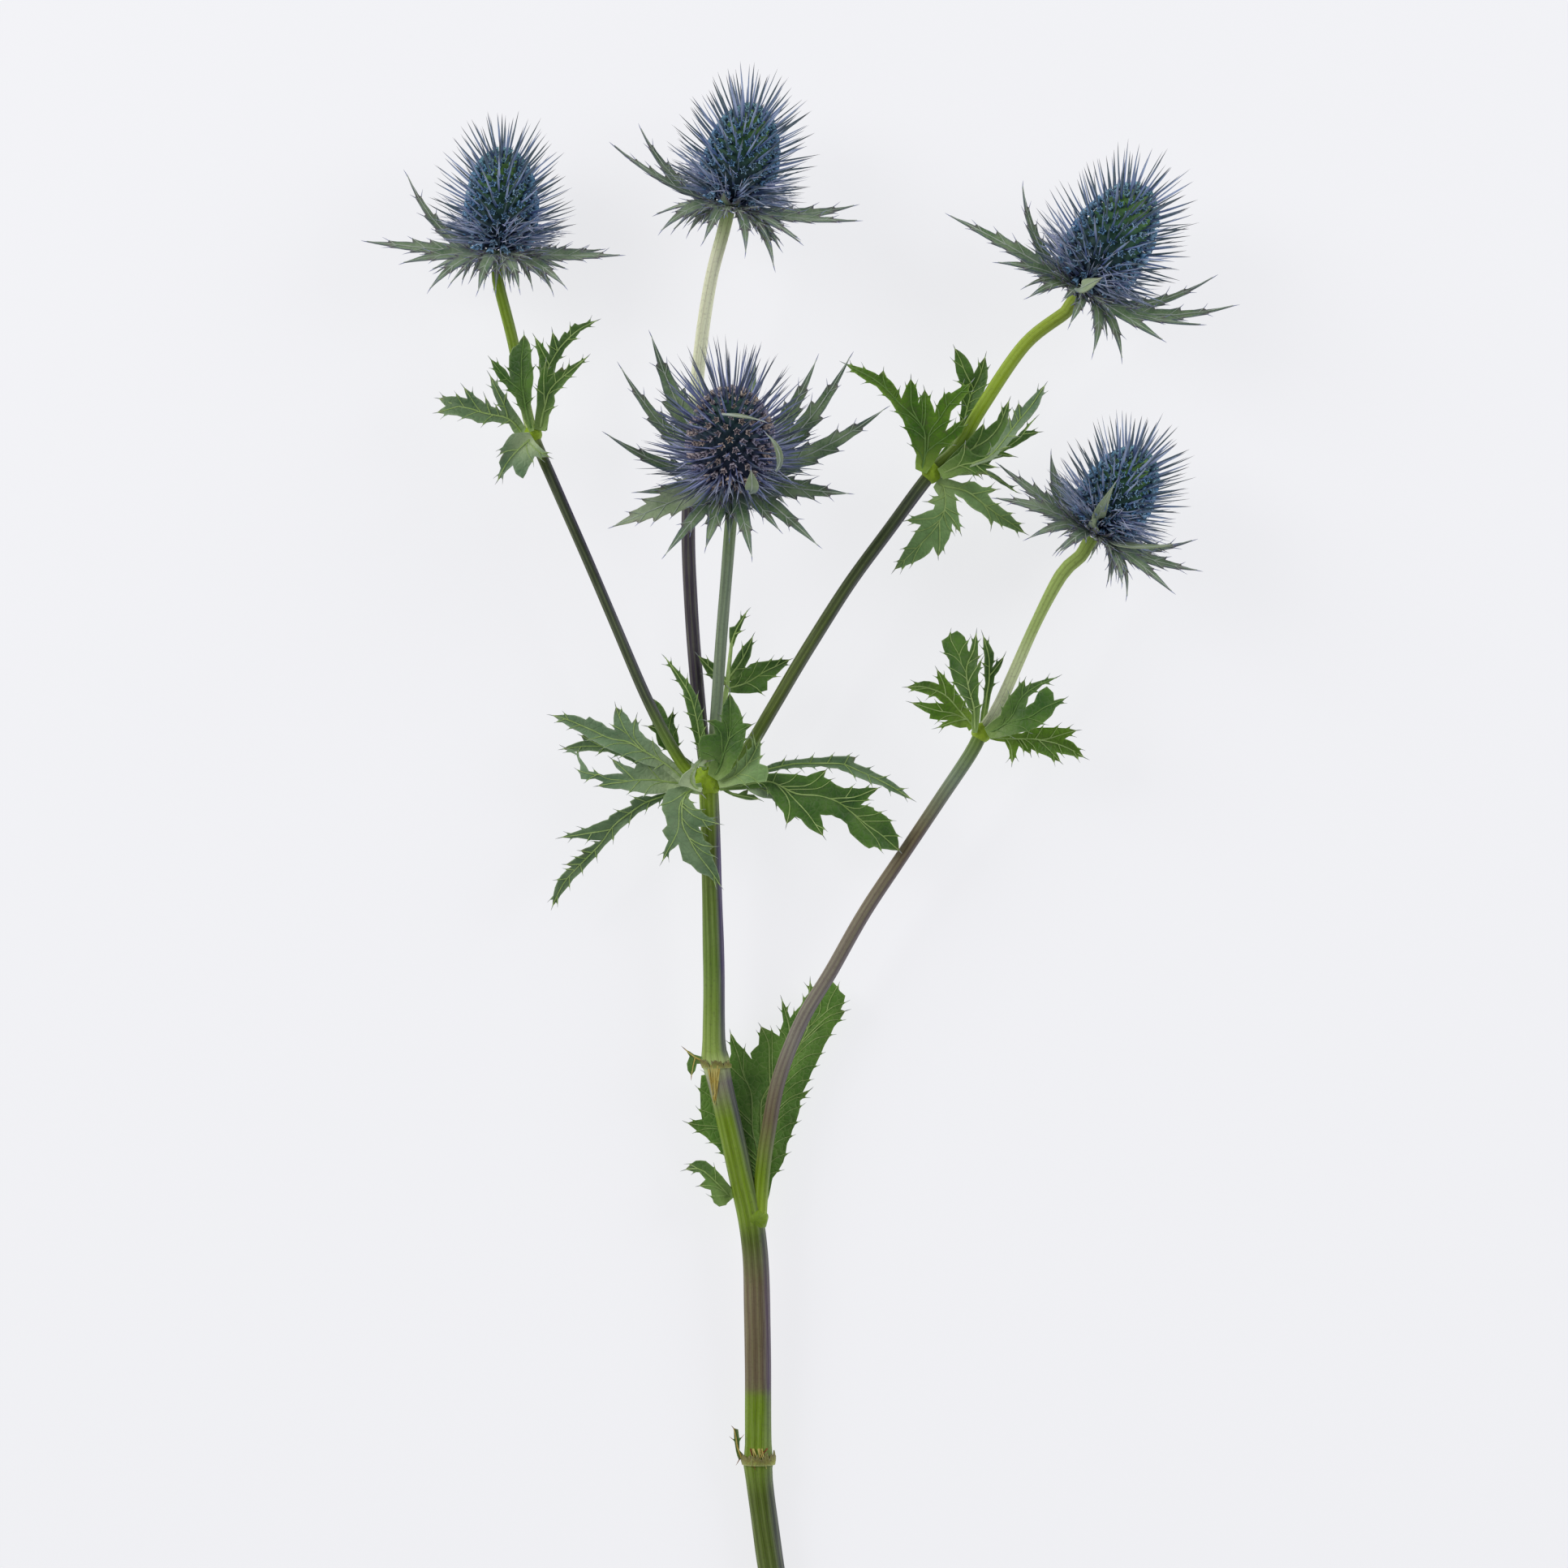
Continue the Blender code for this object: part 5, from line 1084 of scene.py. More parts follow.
def fine_blade(loop, spacing, place, root, foot_reach, corners, ribs):
    """A grid-cut outline, placed in space and thickened, as a bmesh."""
    bm = bmesh.new()
    edge, foot, tip, rib = blade_layers(bm)
    bm.faces.new([bm.verts.new((x, y, 0.0)) for x, y in loop])
    for axis in (0, 1):
        low, high = min(p[axis] for p in loop), max(p[axis] for p in loop)
        for number in range(1, int((high - low) / spacing) + 1):
            point, square = [0.0] * 3, [0.0] * 3
            point[axis], square[axis] = low + number * spacing, 1.0
            geometry = bm.verts[:] + bm.edges[:] + bm.faces[:]
            bmesh.ops.bisect_plane(bm, geom=geometry, dist=GRID_SNAP, plane_co=point,
                                   plane_no=square)
    wide = [f for f in bm.faces if len(f.verts) > 4]
    bmesh.ops.triangulate(bm, faces=wide)
    for vert in bm.verts:
        flat = vert.co.to_2d()
        vert[edge] = 1.0 if vert.is_boundary else 0.0
        vert[foot] = max(0.0, 1.0 - (flat - root).length / foot_reach)
        reach = min((flat - corner).length for corner in corners)
        vert[tip] = max(0.0, 1.0 - reach / TIP_REACH)
        vert[rib] = math.exp(-ribs.find((flat.x, flat.y, 0.0))[2] / RIB_GLOW)
        vert.co = place(flat)
    bm.normal_update()
    outward = bm.verts.layers.float_vector.new("outward")
    for vert in bm.verts:
        vert[outward] = vert.normal
        vert.co += vert.normal * BLADE_WALL / 2
    made = bmesh.ops.extrude_face_region(bm, geom=bm.faces[:], use_keep_orig=True)["geom"]
    for vert in made:
        if isinstance(vert, bmesh.types.BMVert):
            vert.co -= vert[outward] * BLADE_WALL
    bmesh.ops.recalc_face_normals(bm, faces=bm.faces)
    return bm


def rib_tree(paths):
    """A search tree of points close together on the veins."""
    points = []
    for path in paths:
        for a, b in zip(path, path[1:]):
            points += [a.lerp(b, k / 3) for k in range(3)]
    tree = KDTree(len(points))
    for number, point in enumerate(points):
        tree.insert((point.x, point.y, 0.0), number)
    tree.balance()
    return tree


def vein_strands(paths, place, widths):
    """Veins as half-sunk strands on the upper face, thinning towards their tips."""
    routes = []
    for path, (thick, thin) in zip(paths, widths):
        kept = path[::2] + ([path[-1]] if len(path) % 2 == 0 else [])
        last = len(kept) - 1
        routes.append((1, [(*place(p, VEIN_LIFT), thick + (thin - thick) * k / last)
                           for k, p in enumerate(kept)]))
    return routes


def spine(point, outward, place, length, rng, radius):
    """A stiff hair that carries a tooth on into the air."""
    sway = Vector((rng.uniform(-0.25, 0.25), rng.uniform(-0.25, 0.25)))
    ahead = (outward + sway).normalized()
    base = place(point - outward * 0.4)
    middle = place(point + ahead * length * 0.45)
    end = place(point + ahead * length)
    rise = Vector((0.0, 0.0, rng.uniform(-0.1, 0.45) * length))
    return (2, [(*base, radius), (*(middle + rise * 0.35), radius * 0.62), (*(end + rise), 0.02)])


# %% [markdown]
# The leaf surface starts from the solid's own: it rises from the seat to the tip, arches in
# the middle and folds up along the rib. On top of that the blade is creased along its
# longest vein, and the rest waves a little, which gives each part its own light.

# %% Leaf surface and leaf maker
CREASE = 0.60
CREASE_REACH = 2.6          # how far the crease runs out from the vein
WAVE = 0.50
WAVE_RUN = 5.5              # millimetres from one wave to the next
VEIN_GRID = 0.75
GRID_STEP = 1.15
MAIN_VEIN = (0.27, 0.13)    # radius at a vein's foot and at its tip
LOBE_VEIN = (0.18, 0.10)
TOOTH_VEIN = (0.13, 0.08)
TOOTH = 0.65
TOOTH_PITCH = 3.2
LOBE_SPINE = (1.0, 1.7, 0.15)       # shortest, longest and radius
TOOTH_SPINE = (0.7, 1.3, 0.10)


def leaf_place(origin, start, tip, height, bends, ribs, seed):
    """Where a flat point of a leaf lies in space, in millimetres."""
    rise, arch, fold = bends
    rib = tip - start
    length = rib.length

    def place(flat, lift=0.0):
        offset = flat - start
        share = offset.length / length
        along = offset.dot(rib) / length
        side = offset.cross(rib) / length
        z = height + rise * share + arch * 4 * share * (1 - share)
        z += fold * abs(side) * min(1.0, max(0.0, along / 4))
        gap = ribs.find((flat.x, flat.y, 0.0))[2]
        z += CREASE * (math.hypot(min(gap, CREASE_REACH), 1.0) - 1.0) * min(1.0, share * 4)
        swell = noise.noise(Vector((flat.x / WAVE_RUN, flat.y / WAVE_RUN, seed)))
        z += WAVE * swell * min(1.0, gap / 1.5) + lift
        return Vector((origin.x + flat.x, origin.y + flat.y, z))

    return place


def make_leaf(loop, start, origin, height, bends, seed, foot_reach, spacing=GRID_STEP, blade=0):
    """One leaf with its veins and spines, as a bmesh. Its blade takes a finish number."""
    rng = random.Random(seed)
    corners = sharp_corners(loop)
    tip = max(loop, key=lambda p: (p - start).length)
    margin, teeth = leaf_margin(loop, start, TOOTH, TOOTH_PITCH, rng)
    by_reach = sorted(corners, key=lambda c: -(c[1] - start).length)
    ends = [(point, outward, 1.6) for number, point, outward in by_reach]
    ends += [(point, outward, 1.0) for point, outward in teeth]
    paths = vein_paths(margin, start, ends, VEIN_GRID)
    widths = [MAIN_VEIN] + [LOBE_VEIN if number < len(corners) else TOOTH_VEIN
                            for number in range(1, len(paths))]
    ribs = rib_tree(paths[:1])
    place = leaf_place(origin, start, tip, height, bends, ribs, seed % 97)
    tips = [point for number, point, outward in corners]
    bm = fine_blade(margin, spacing, place, start, foot_reach, tips, ribs)
    for face in bm.faces:
        face.material_index = blade
    routes = vein_strands(paths, place, widths)
    spikes = [(point, outward, LOBE_SPINE) for number, point, outward in corners]
    spikes += [(point, outward, TOOTH_SPINE) for point, outward in teeth]
    for point, outward, (shortest, longest, radius) in spikes:
        routes.append(spine(point, outward, place, rng.uniform(shortest, longest), rng, radius))
    absorb(bm, strands(routes))
    return bm


# %% [markdown]
# Leaves of one plant differ in colour: some are fresh and bright, some turn their grey-green
# backs up. The big leaf on the stem is painted lighter, as painted light where the stems shade
# it. Each gets a finish by name, and the plain green where none is given. A blade with
# finish number 3 shows its grey back, and its pale foot reaches further.

# %% Grow every leaf
SEAT_GAP = 0.66             # from a node's surface to the middle of a blade
WIDE_FOOT = 1.5             # half width of a leaf where it clasps its node
NARROW_FOOT = 0.6
NARROW_OPENING = 3.6        # an outline that starts narrower than this has a narrow foot
FOOT_SUNK = 0.9             # how far a foot runs back under its seat
FOOT_REACH = 9.0            # how far a foot's paler green reaches
BACK_FOOT_REACH = 20.0
SMOOTH_BACKS = ("right_leaf_palm", "left_leaf_upright", "fork_leaf_middle", "low_leaf_cup")
# The big stem leaf's warm finish carries painted light against the shade of the stems above it.
LEAF_FINISHES = {
    "right_leaf_palm": LEAF_BRIGHT, "low_leaf_right": LEAF_BRIGHT, "low_leaf_left": LEAF_BRIGHT,
    "stem_leaf_big": LEAF_WARM_LIT, "fork_leaf_long": LEAF_GREY, "left_leaf_hanging": LEAF_GREY,
    "right_leaf_hanging": LEAF_LIGHT, "fork_leaf_folded": LEAF_LIGHT,
    "left_leaf_side": LEAF_SAGE, "fork_leaf_left": LEAF_SAGE, "fork_leaf_front": LEAF_SAGE,
}


def leaf_loop(outline, start, half, inward):
    """An outline joined to the leaf's seat by a foot of the given half width."""
    outline = [Vector(p) for p in outline]
    foot = outline[0].lerp(outline[-1], 0.5) - start
    side = Vector((-foot.y, foot.x)).normalized() * half
    if (outline[0] - outline[-1]).dot(side) < 0:
        side = -side
    back = -foot.normalized() * inward
    return [start + side + back] + outline + [start - side + back]


leaf_triangles = 0
for number, (name, (seat, direction, blades)) in enumerate(LEAVES.items()):
    if name.startswith("torn"):
        continue
    centre, radius = NODES.get(seat) or PLAIN_SEATS[seat]
    centre = Vector(centre)
    reach = Vector(direction).normalized() * (radius + SEAT_GAP)
    start = reach.to_2d()
    leaf_bm = bmesh.new()
    blade_layers(leaf_bm)
    for place, (lift, rise, arch, fold, blade, outline) in enumerate(blades):
        wide = (Vector(outline[0]) - Vector(outline[-1])).length > NARROW_OPENING
        loop = leaf_loop(outline, start, WIDE_FOOT if wide else NARROW_FOOT, FOOT_SUNK)
        absorb(leaf_bm, make_leaf(loop, start, centre, centre.z + reach.z + lift,
                                  (rise, arch, fold), 100 + number + 31 * place,
                                  BACK_FOOT_REACH if blade else FOOT_REACH, blade=blade))
    finish = LEAF_FINISHES.get(name, LEAF_GREEN)
    back = LEAF_GREY if any(row[4] for row in blades) else finish
    veins = VEIN_SOFT if name in SMOOTH_BACKS else VEIN_PALE
    piece = finish_piece(leaf_bm, name + "_grown", [finish, veins, SPINE_PALE, back], name)
    leaf_triangles += faces_of(piece)
print("leaf triangles:", leaf_triangles)

# %% [markdown]
# Behind the front stalk a short shoot stands in the fork. It has a thin stem of its own and
# four leaves, and they are one body in the solid model, so they are one piece here too.

# %% The shoot in the fork
SHOOT_STEM = (
    (-21.3, 20.4, 12.9, 1.5),
    (-20.4, 31.0, 13.2, 1.5),
    (-19.0, 41.0, 13.8, 1.3),
    (-17.8, 52.0, 14.0, 0.9),
)
# Each leaf: rise of the tip, and outline from the fork's node.
SHOOT_LEAVES = (
    (-1.5, ((4.2, 23.0), (4.4, 24.4), (7.8, 27.0), (11.0, 30.2), (14.2, 30.8), (21.2, 31.4),
            (18.6, 28.4), (15.4, 25.8), (15.4, 23.4), (11.0, 22.6))),
    (1.5, ((4.8, 25.4), (5.0, 27.0), (7.8, 32.8), (11.6, 37.4), (11.0, 32.2), (8.0, 27.0))),
    (1.0, ((5.7, 33.0), (5.7, 34.6), (5.6, 39.6), (7.0, 40.0), (10.2, 44.0), (7.4, 37.2))),
    (2.2, ((4.9, 26.2), (4.8, 24.6), (1.0, 26.4), (-1.2, 29.6), (-2.4, 32.2), (1.8, 30.2))),
)
shoot_bm = bmesh.new()
blade_layers(shoot_bm)
fork_centre = Vector(NODES["fork"][0])
for number, (rise, outline) in enumerate(SHOOT_LEAVES):
    loop = [Vector(p) for p in outline[1:]] + [Vector(outline[0])]
    start = Vector(outline[0]).lerp(Vector(outline[1]), 0.5)
    height = SHOOT_STEM[2][2] - 0.3 + 0.12 * number
    bends = (rise, 0.0, 0.10)
    absorb(shoot_bm, make_leaf(loop, start, fork_centre, height, bends, 200 + number, 4.0, 0.9))
shoot_stem = [(3, [(x, y, z, d / 2) for x, y, z, d in smooth_route(SHOOT_STEM, 1.5)])]
absorb(shoot_bm, strands(shoot_stem, 3), 3)
shoot_piece = finish_piece(shoot_bm, "fork_shoot_grown",
                           [LEAF_GREEN, VEIN_PALE, SPINE_PALE, VEIN_PALE], "fork_shoot")
print("shoot triangles:", faces_of(shoot_piece))

# %% [markdown]
# ## Ruffs
# Under each cone sits a green collar with a ring of stiff, narrow bracts. A bract leaves the
# collar square to the head's axis and bends to its tip, folded along a pale rib. Each edge
# carries a few long teeth that end in spines. Thin bracts between the main ones fill the
# ring, as on the plant.

# %% Bracts of each ruff
# Where the tip is from the collar (right, front, along the head's axis), the greatest width
# and how richly the edges are toothed: 0 is smooth.
RUFFS = {
    "left": (
        (-34.4, -2, 2.2, 3.8, 2), (-25.3, -9, 20.0, 2.8, 2), (31.4, 4, 2.1, 4.0, 2),
        (25.9, -7, 3.3, 3.6, 2), (-24.0, 7, -2.7, 3.4, 1), (-16.7, 11, -9.0, 3.0, 1),
        (-17.5, -12, -4.0, 3.0, 1), (-4.1, 15, -9.0, 3.2, 1), (6.4, 14, -8.0, 2.8, 1),
        (17.8, 10, -6.5, 3.2, 1), (-8.5, -17.6, -2.0, 3.2, 1), (5.0, -18.6, -1.0, 3.2, 1),
        (16.5, -13.5, -2.0, 3.2, 1),
    ),
    "top": (
        (-32.5, 4, 8.8, 3.8, 2), (-27.4, -7, 15.2, 3.2, 2), (31.0, -7, 9.3, 3.8, 2),
        (32.9, 5, 5.2, 3.8, 2), (15.0, 9, -11.5, 3.0, 1), (7.3, 14, -10.0, 3.0, 1),
        (20.1, 12, -4.0, 2.8, 1), (-3.8, 15, -9.8, 3.0, 1), (-15.2, 10, -9.6, 3.2, 1),
        (-18.0, -9, -5.0, 3.2, 1), (-7.0, -16.5, -4.0, 3.0, 1), (8.0, -16.5, -3.0, 3.0, 1),
        (18.5, -12, -2.0, 3.0, 1),
    ),
    "right": (
        (-38.6, -1, -1.2, 3.8, 2), (-27.0, -7, 15.4, 3.0, 2), (-21.5, 9, -5.0, 3.2, 1),
        (-10.0, 12, -8.3, 3.0, 1), (27.3, -9, 22.0, 3.0, 2), (35.6, -3, 18.5, 3.6, 2),
        (31.0, 5, 9.6, 3.6, 1), (24.7, 14, 0.8, 4.4, 1), (11.6, 10, -11.5, 3.0, 1),
        (18.5, 4, -8.4, 2.8, 1), (2.6, 15, -8.6, 3.0, 1), (-16.5, -13.5, -3.0, 3.0, 1),
        (-2.5, -20.6, -1.5, 3.2, 1), (13.5, -16.8, -2.0, 3.0, 1),
    ),
    "front": (
        (-19.5, -26.3, 27.0, 6.0, 2), (-27.6, -20.0, 22.0, 3.8, 2), (-31.5, -2.7, 14.0, 3.2, 1),
        (-24.4, 9.5, 4.6, 3.0, 1), (-30.6, 18.8, 1.2, 6.4, 2), (-17.6, 26.0, -2.8, 3.4, 1),
        (-7.3, 21.0, -5.0, 4.4, 1), (4.4, 26.6, -4.0, 3.6, 1), (11.6, 20.4, -0.6, 3.2, 1),
        (21.2, 22.6, -4.2, 3.6, 1), (29.6, 11.8, 3.6, 4.6, 2), (39.6, -8.0, 15.0, 4.6, 2),
        (31.2, -18.0, 24.4, 4.6, 2), (22.6, -23.4, 19.6, 4.6, 2), (7.0, -25.6, 19.0, 4.4, 1),
        (-8.0, -24.0, 14.0, 3.6, 1),
    ),
    "low": (
        (-30.0, -3, 3.1, 3.8, 2), (-20.1, -7, 12.3, 4.6, 1), (-26.4, 5, -4.6, 3.8, 2),
        (-14.0, 11, -9.0, 3.0, 1), (-5.6, 15, -8.0, 3.0, 1), (-2.6, 15.5, 14.9, 3.8, 0),
        (18.6, 15, 9.2, 4.6, 0), (22.7, -6, 12.4, 3.0, 2), (27.5, 2, 6.6, 3.4, 2),
        (24.4, 9, -1.4, 3.4, 1), (12.6, 13, -6.4, 3.0, 1), (-12.0, -14.5, -2.0, 3.0, 1),
        (2.0, -17.6, -2.0, 3.0, 1), (14.5, -13.5, -1.0, 3.0, 1),
    ),
}
# Small pale bracts that grow out between the needles: root, bend, tip and width.
ODD_BRACTS = {
    "front": (((4.7, 17.0, 9.4), (5.3, 19.4, 13.0), (4.9, 18.6, 18.0), 3.6),
              ((11.4, 16.0, 15.0), (14.0, 19.0, 23.4), (9.0, 15.4, 27.0), 1.8),
              ((-1.6, 14.5, 32.6), (2.6, 18.5, 36.0), (8.8, 16.5, 31.6), 1.0)),
    "right": (((-0.5, 14.0, -0.5), (0.5, 18.0, 1.5), (3.2, 19.0, 5.9), 3.8),),
}
COLLAR_HEIGHT = 1.7
COLLAR_RADIUS = 3.3
COLLAR_DRAFT = 0.8          # how much narrower the collar's underside is
BRACT_SUNK = 0.9            # how far a bract's foot stands inside the collar's rim
BRACT_FOLD = 0.25
BRACT_TEETH = {0: (), 1: (0.24, 0.45, 0.70), 2: (0.20, 0.35, 0.52, 0.66, 0.82)}
LONG_TOOTH = 0.62           # teeth as shares of a bract's half width
SHORT_TOOTH = 0.38


def bract_half(width, length, teeth, rng):
    """Half a bract's outline from foot to tip, and its teeth, on the right side of its rib."""
    def side(t):
        return width / 2 * (0.32 * (1 - t) + math.sin(math.pi * t) ** 1.1 * (1 - 0.45 * t))

    points, spikes = [Vector((side(0.0), 0.0))], []
    for tooth in teeth:
        at = tooth + rng.uniform(-0.03, 0.03)
        size = (LONG_TOOTH if tooth in teeth[1::2] else SHORT_TOOTH) * width / 2 * (1.15 - at)
        points.append(Vector((side(at - 0.05), (at - 0.05) * length)))
        spike = Vector((side(at) + size, at * length + size * 1.3))
        points.append(spike)
        spikes.append(spike)
        points.append(Vector((side(at + 0.02) * 0.85, (at + 0.02) * length)))
        points.append(Vector((side(at + 0.07) * 0.96, (at + 0.07) * length)))
    if not teeth:
        points += [Vector((side(k / 10), k / 10 * length)) for k in range(1, 10)]
    return points, spikes


def bract_place(root, bend, tip, matrix, twist):
    """Where a flat point of a bract lies in space: x across it and y along it."""
    length = (bend - root).length + (tip - bend).length

    def place(flat, lift=0.0):
        t = flat.y / length
        point = root.lerp(bend, t).lerp(bend.lerp(tip, t), t)
        tangent = (bend - root).lerp(tip - bend, min(1.0, max(0.0, t))).normalized()
        upper_face = Vector((twist * min(1.0, max(0.0, t * 3)), 0.0, 1.0))
        side = tangent.cross(upper_face).normalized()
        up = side.cross(tangent)
        return matrix @ (point + side * flat.x + up * (abs(flat.x) * BRACT_FOLD + lift))

    return place, length


# %% One bract
BRACT_GRID = 1.0
BRACT_RIB = (0.24, 0.11)    # radius at the rib's foot and at its tip
BRACT_VEIN = (0.11, 0.08)
SPIKE_RADIUS = 0.13
END_SPINE = (1.4, 0.15)     # length and radius of the spine at a bract's tip


def make_bract(root, bend, tip, width, teeth, matrix, rng, spine_length, twist):
    """One bract with its rib, side veins and spines, as a bmesh."""
    place, length = bract_place(root, bend, tip, matrix, twist)
    right, spikes = bract_half(width, length, teeth, rng)
    left, other = bract_half(width, length, teeth, rng)
    end = Vector((0.0, length))
    loop = right + [end] + [Vector((-p.x, p.y)) for p in reversed(left)]
    spikes += [Vector((-p.x, p.y)) for p in other]
    rib = [Vector((0.0, length * k / 12)) for k in range(13)]
    ribs = rib_tree([rib])
    bm = fine_blade(loop, BRACT_GRID, place, Vector((0.0, 0.0)), length * 0.45, spikes + [end],
                    ribs)
    routes = vein_strands([rib], place, [BRACT_RIB])
    for spike in spikes:
        start = Vector((0.0, max(0.0, spike.y - abs(spike.x) * 1.6)))
        side_vein = [start, start.lerp(spike, 0.5) + Vector((spike.x * 0.06, 0.2)), spike]
        routes += vein_strands([side_vein], place, [BRACT_VEIN])
        outward = (spike - start).normalized()
        routes.append(spine(spike, outward, place, spine_length * rng.uniform(0.6, 1.3), rng,
                            SPIKE_RADIUS))
    routes.append(spine(end, Vector((0.0, 1.0)), place, END_SPINE[0], rng, END_SPINE[1]))
    absorb(bm, strands(routes))
    return bm


# %% Collar and ring of bracts
THIN_BRACTS = 30
MAIN_BEND = 0.45            # where a main bract's bend lies, as a share of its reach
BRACT_FULLNESS = 1.15       # a bract is a little wider than its solid
BROAD_BRACT = 6             # a bract wider than this is pale, and so is a smooth one
SPIKE_LENGTH = 1.8


def collar():
    """The green disc under the head, with rounded rims, as a bmesh."""
    bm = bmesh.new()
    blade_layers(bm)
    bmesh.ops.create_cone(bm, cap_ends=True, segments=32, radius1=COLLAR_RADIUS - COLLAR_DRAFT,
                          radius2=COLLAR_RADIUS, depth=COLLAR_HEIGHT)
    bmesh.ops.translate(bm, verts=bm.verts, vec=(0.0, 0.0, COLLAR_HEIGHT / 2))
    bmesh.ops.bevel(bm, geom=[e for e in bm.edges if len(e.link_faces[0].verts) > 4
                              or len(e.link_faces[1].verts) > 4],
                    offset=0.4, segments=3, profile=0.5, affect="EDGES", material=-1)
    return bm


def make_ruff(head, seed):
    """The collar with its ring of bracts, as a bmesh."""
    rng = random.Random(seed)
    matrix = head_matrix(head)
    bm = collar()
    bmesh.ops.transform(bm, matrix=matrix, verts=bm.verts)
    specs = [(Vector((front, right, along)), width, BRACT_TEETH[spines], MAIN_BEND)
             for right, front, along, width, spines in RUFFS[head]]
    for number in range(THIN_BRACTS):
        angle = math.tau * (number + rng.uniform(-0.4, 0.4)) / THIN_BRACTS
        reach = rng.uniform(8.5, 16.5)
        tip = Vector((math.cos(angle) * reach, math.sin(angle) * reach, rng.uniform(-8.5, 4.0)))
        specs.append((tip, rng.uniform(1.4, 2.7), BRACT_TEETH[1], rng.uniform(0.35, 0.55)))
    for tip, width, teeth, share in specs:
        outward = Vector((tip.x, tip.y, 0.0)).normalized()
        root = outward * (COLLAR_RADIUS - BRACT_SUNK) + Vector((0.0, 0.0, COLLAR_HEIGHT / 2))
        bend = root + outward * (tip - root).length * share
        bract = make_bract(root, bend, tip, width * BRACT_FULLNESS, teeth, matrix, rng,
                           SPIKE_LENGTH, rng.uniform(0.5, 1.4))
        pale = width > BROAD_BRACT or not teeth
        for face in bract.faces:
            face.material_index = face.material_index or (3 if pale else 0)
        absorb(bm, bract)
    for root, bend, tip, width in ODD_BRACTS.get(head, ()):
        places = [Vector((front, right, along)) for right, front, along in (root, bend, tip)]
        odd = make_bract(*places, width, (), matrix, rng, 0.0, 1.6)
        for face in odd.faces:
            face.material_index = face.material_index or 3
        absorb(bm, odd)
    return bm


# %% [markdown]
# The front and right heads have greener bracts than the others, so they take another finish.

# %% Grow every ruff
ruff_triangles = 0
for number, head in enumerate(HEADS):
    finish = BRACT_GREEN if head in ("front", "right") else BRACT_GREY
    ruff_piece = finish_piece(make_ruff(head, 300 + number), f"ruff_{head}_grown",
                              [finish, RIB_PALE, SPINE_VIOLET, BRACT_PALE], "ruff_" + head)
    ruff_triangles += faces_of(ruff_piece)
print("ruff triangles:", ruff_triangles)

# %% [markdown]
# ## Cones
# The blue cone is a crowd of tiny flowers on an egg-shaped core. Each flower is a five-lobed
# star, and a long, flat, pointed bracteole stands beside it. Modelling each one by itself
# would be slow, so one star and one bracteole are made as templates. They are then copied
# round the core on a golden spiral, which spreads points evenly, and each copy is turned,
# sized and bent by rule.

# %% Cone finishes
def core_finish(name, stops):
    """The egg under the flowers, its colour changing from foot to tip. Its dark blues and teals are
    partly painted shade between the flowers.
    """
    made, tree, shader = new_material(name)
    cloud = patches(tree, 700.0, 0.2)
    deep = ramp(tree, reading(tree, "level"), [(place, paint(code)) for place, code in stops])
    finish_with(tree, shader, mix(tree, cloud, deep, mix(tree, 0.5, deep, paint("14283c"))),
                spread(tree, cloud, 0, 1, 0.6, 0.8), cloud, 0.4, 0.0004)
    return made


# Below the green top, the core's dark blues and teals are partly its own colour and partly painted shade
# between the flowers.
CORE_BLUE = core_finish("core_blue", [(0.0, "1e2a44"), (0.35, "20463c"), (0.62, "386c3c"),
                                      (0.82, "64943c"), (0.95, "76a04c")])
CORE_VIOLET = core_finish("core_violet", [(0.0, "262c50"), (0.5, "203348"), (0.8, "264850"),
                                          (1.0, "34604c")])


def star_finish(name, lobe, heart, green):
    """The tiny flowers: bright lobes round a dark heart, greener at the top of the cone."""
    made, tree, shader = new_material(name)
    tint, level = reading(tree, "tint"), reading(tree, "level")
    colour = mix(tree, tint, paint(lobe[0]), paint(lobe[1]))
    colour = mix(tree, spread(tree, level, 0.70, 0.98, 0.0, 0.45), colour, paint(green))
    colour = mix(tree, spread(tree, reading(tree, "along"), 0.2, 0.62), paint(heart), colour)
    cloud = patches(tree, 1500.0, 0.2)
    finish_with(tree, shader, colour, spread(tree, cloud, 0.0, 1.0, 0.5, 0.65), cloud, 0.2, 0.0001)
    return made


def bracteole_finish(name, stops, dark, light, warm):
    """A bracteole runs from a blue-violet root through slate to a brown tip. Its tint makes some
    copies darker and greener than their neighbours, partly with painted shade, and others
    paler, with a painted highlight."""
    made, tree, shader = new_material(name)
    along, tint = reading(tree, "along"), reading(tree, "tint")
    colour = ramp(tree, along, [(place, paint(code)) for place, code in stops])
    out = spread(tree, along, 0.08, 0.4)
    # High tints darken a copy: partly a darker green of its own, partly painted shade.
    shade = maths(tree, "MULTIPLY", spread(tree, tint, 0.38, 0.60, 0.0, 0.92), out)
    colour = mix(tree, shade, colour, paint(dark))
    # Low tints pale a copy: a painted highlight.
    painted_highlight_share = maths(tree, "MULTIPLY", spread(tree, tint, 0.32, 0.12, 0.0, 0.8), out)
    colour = mix(tree, painted_highlight_share, colour, paint(light))
    tipped = spread(tree, along, 0.66, 1.0, 0.0, 0.8)
    colour = mix(tree, tipped, colour, paint(warm))
    cloud = patches(tree, 600.0, 0.25)
    colour = mix(tree, spread(tree, cloud, 0.0, 1.0, 0.0, 0.2), colour, paint("d5dcec"))
    finish_with(tree, shader, colour, spread(tree, cloud, 0.0, 1.0, 0.42, 0.55), cloud, 0.15,
                0.0001)
    return made


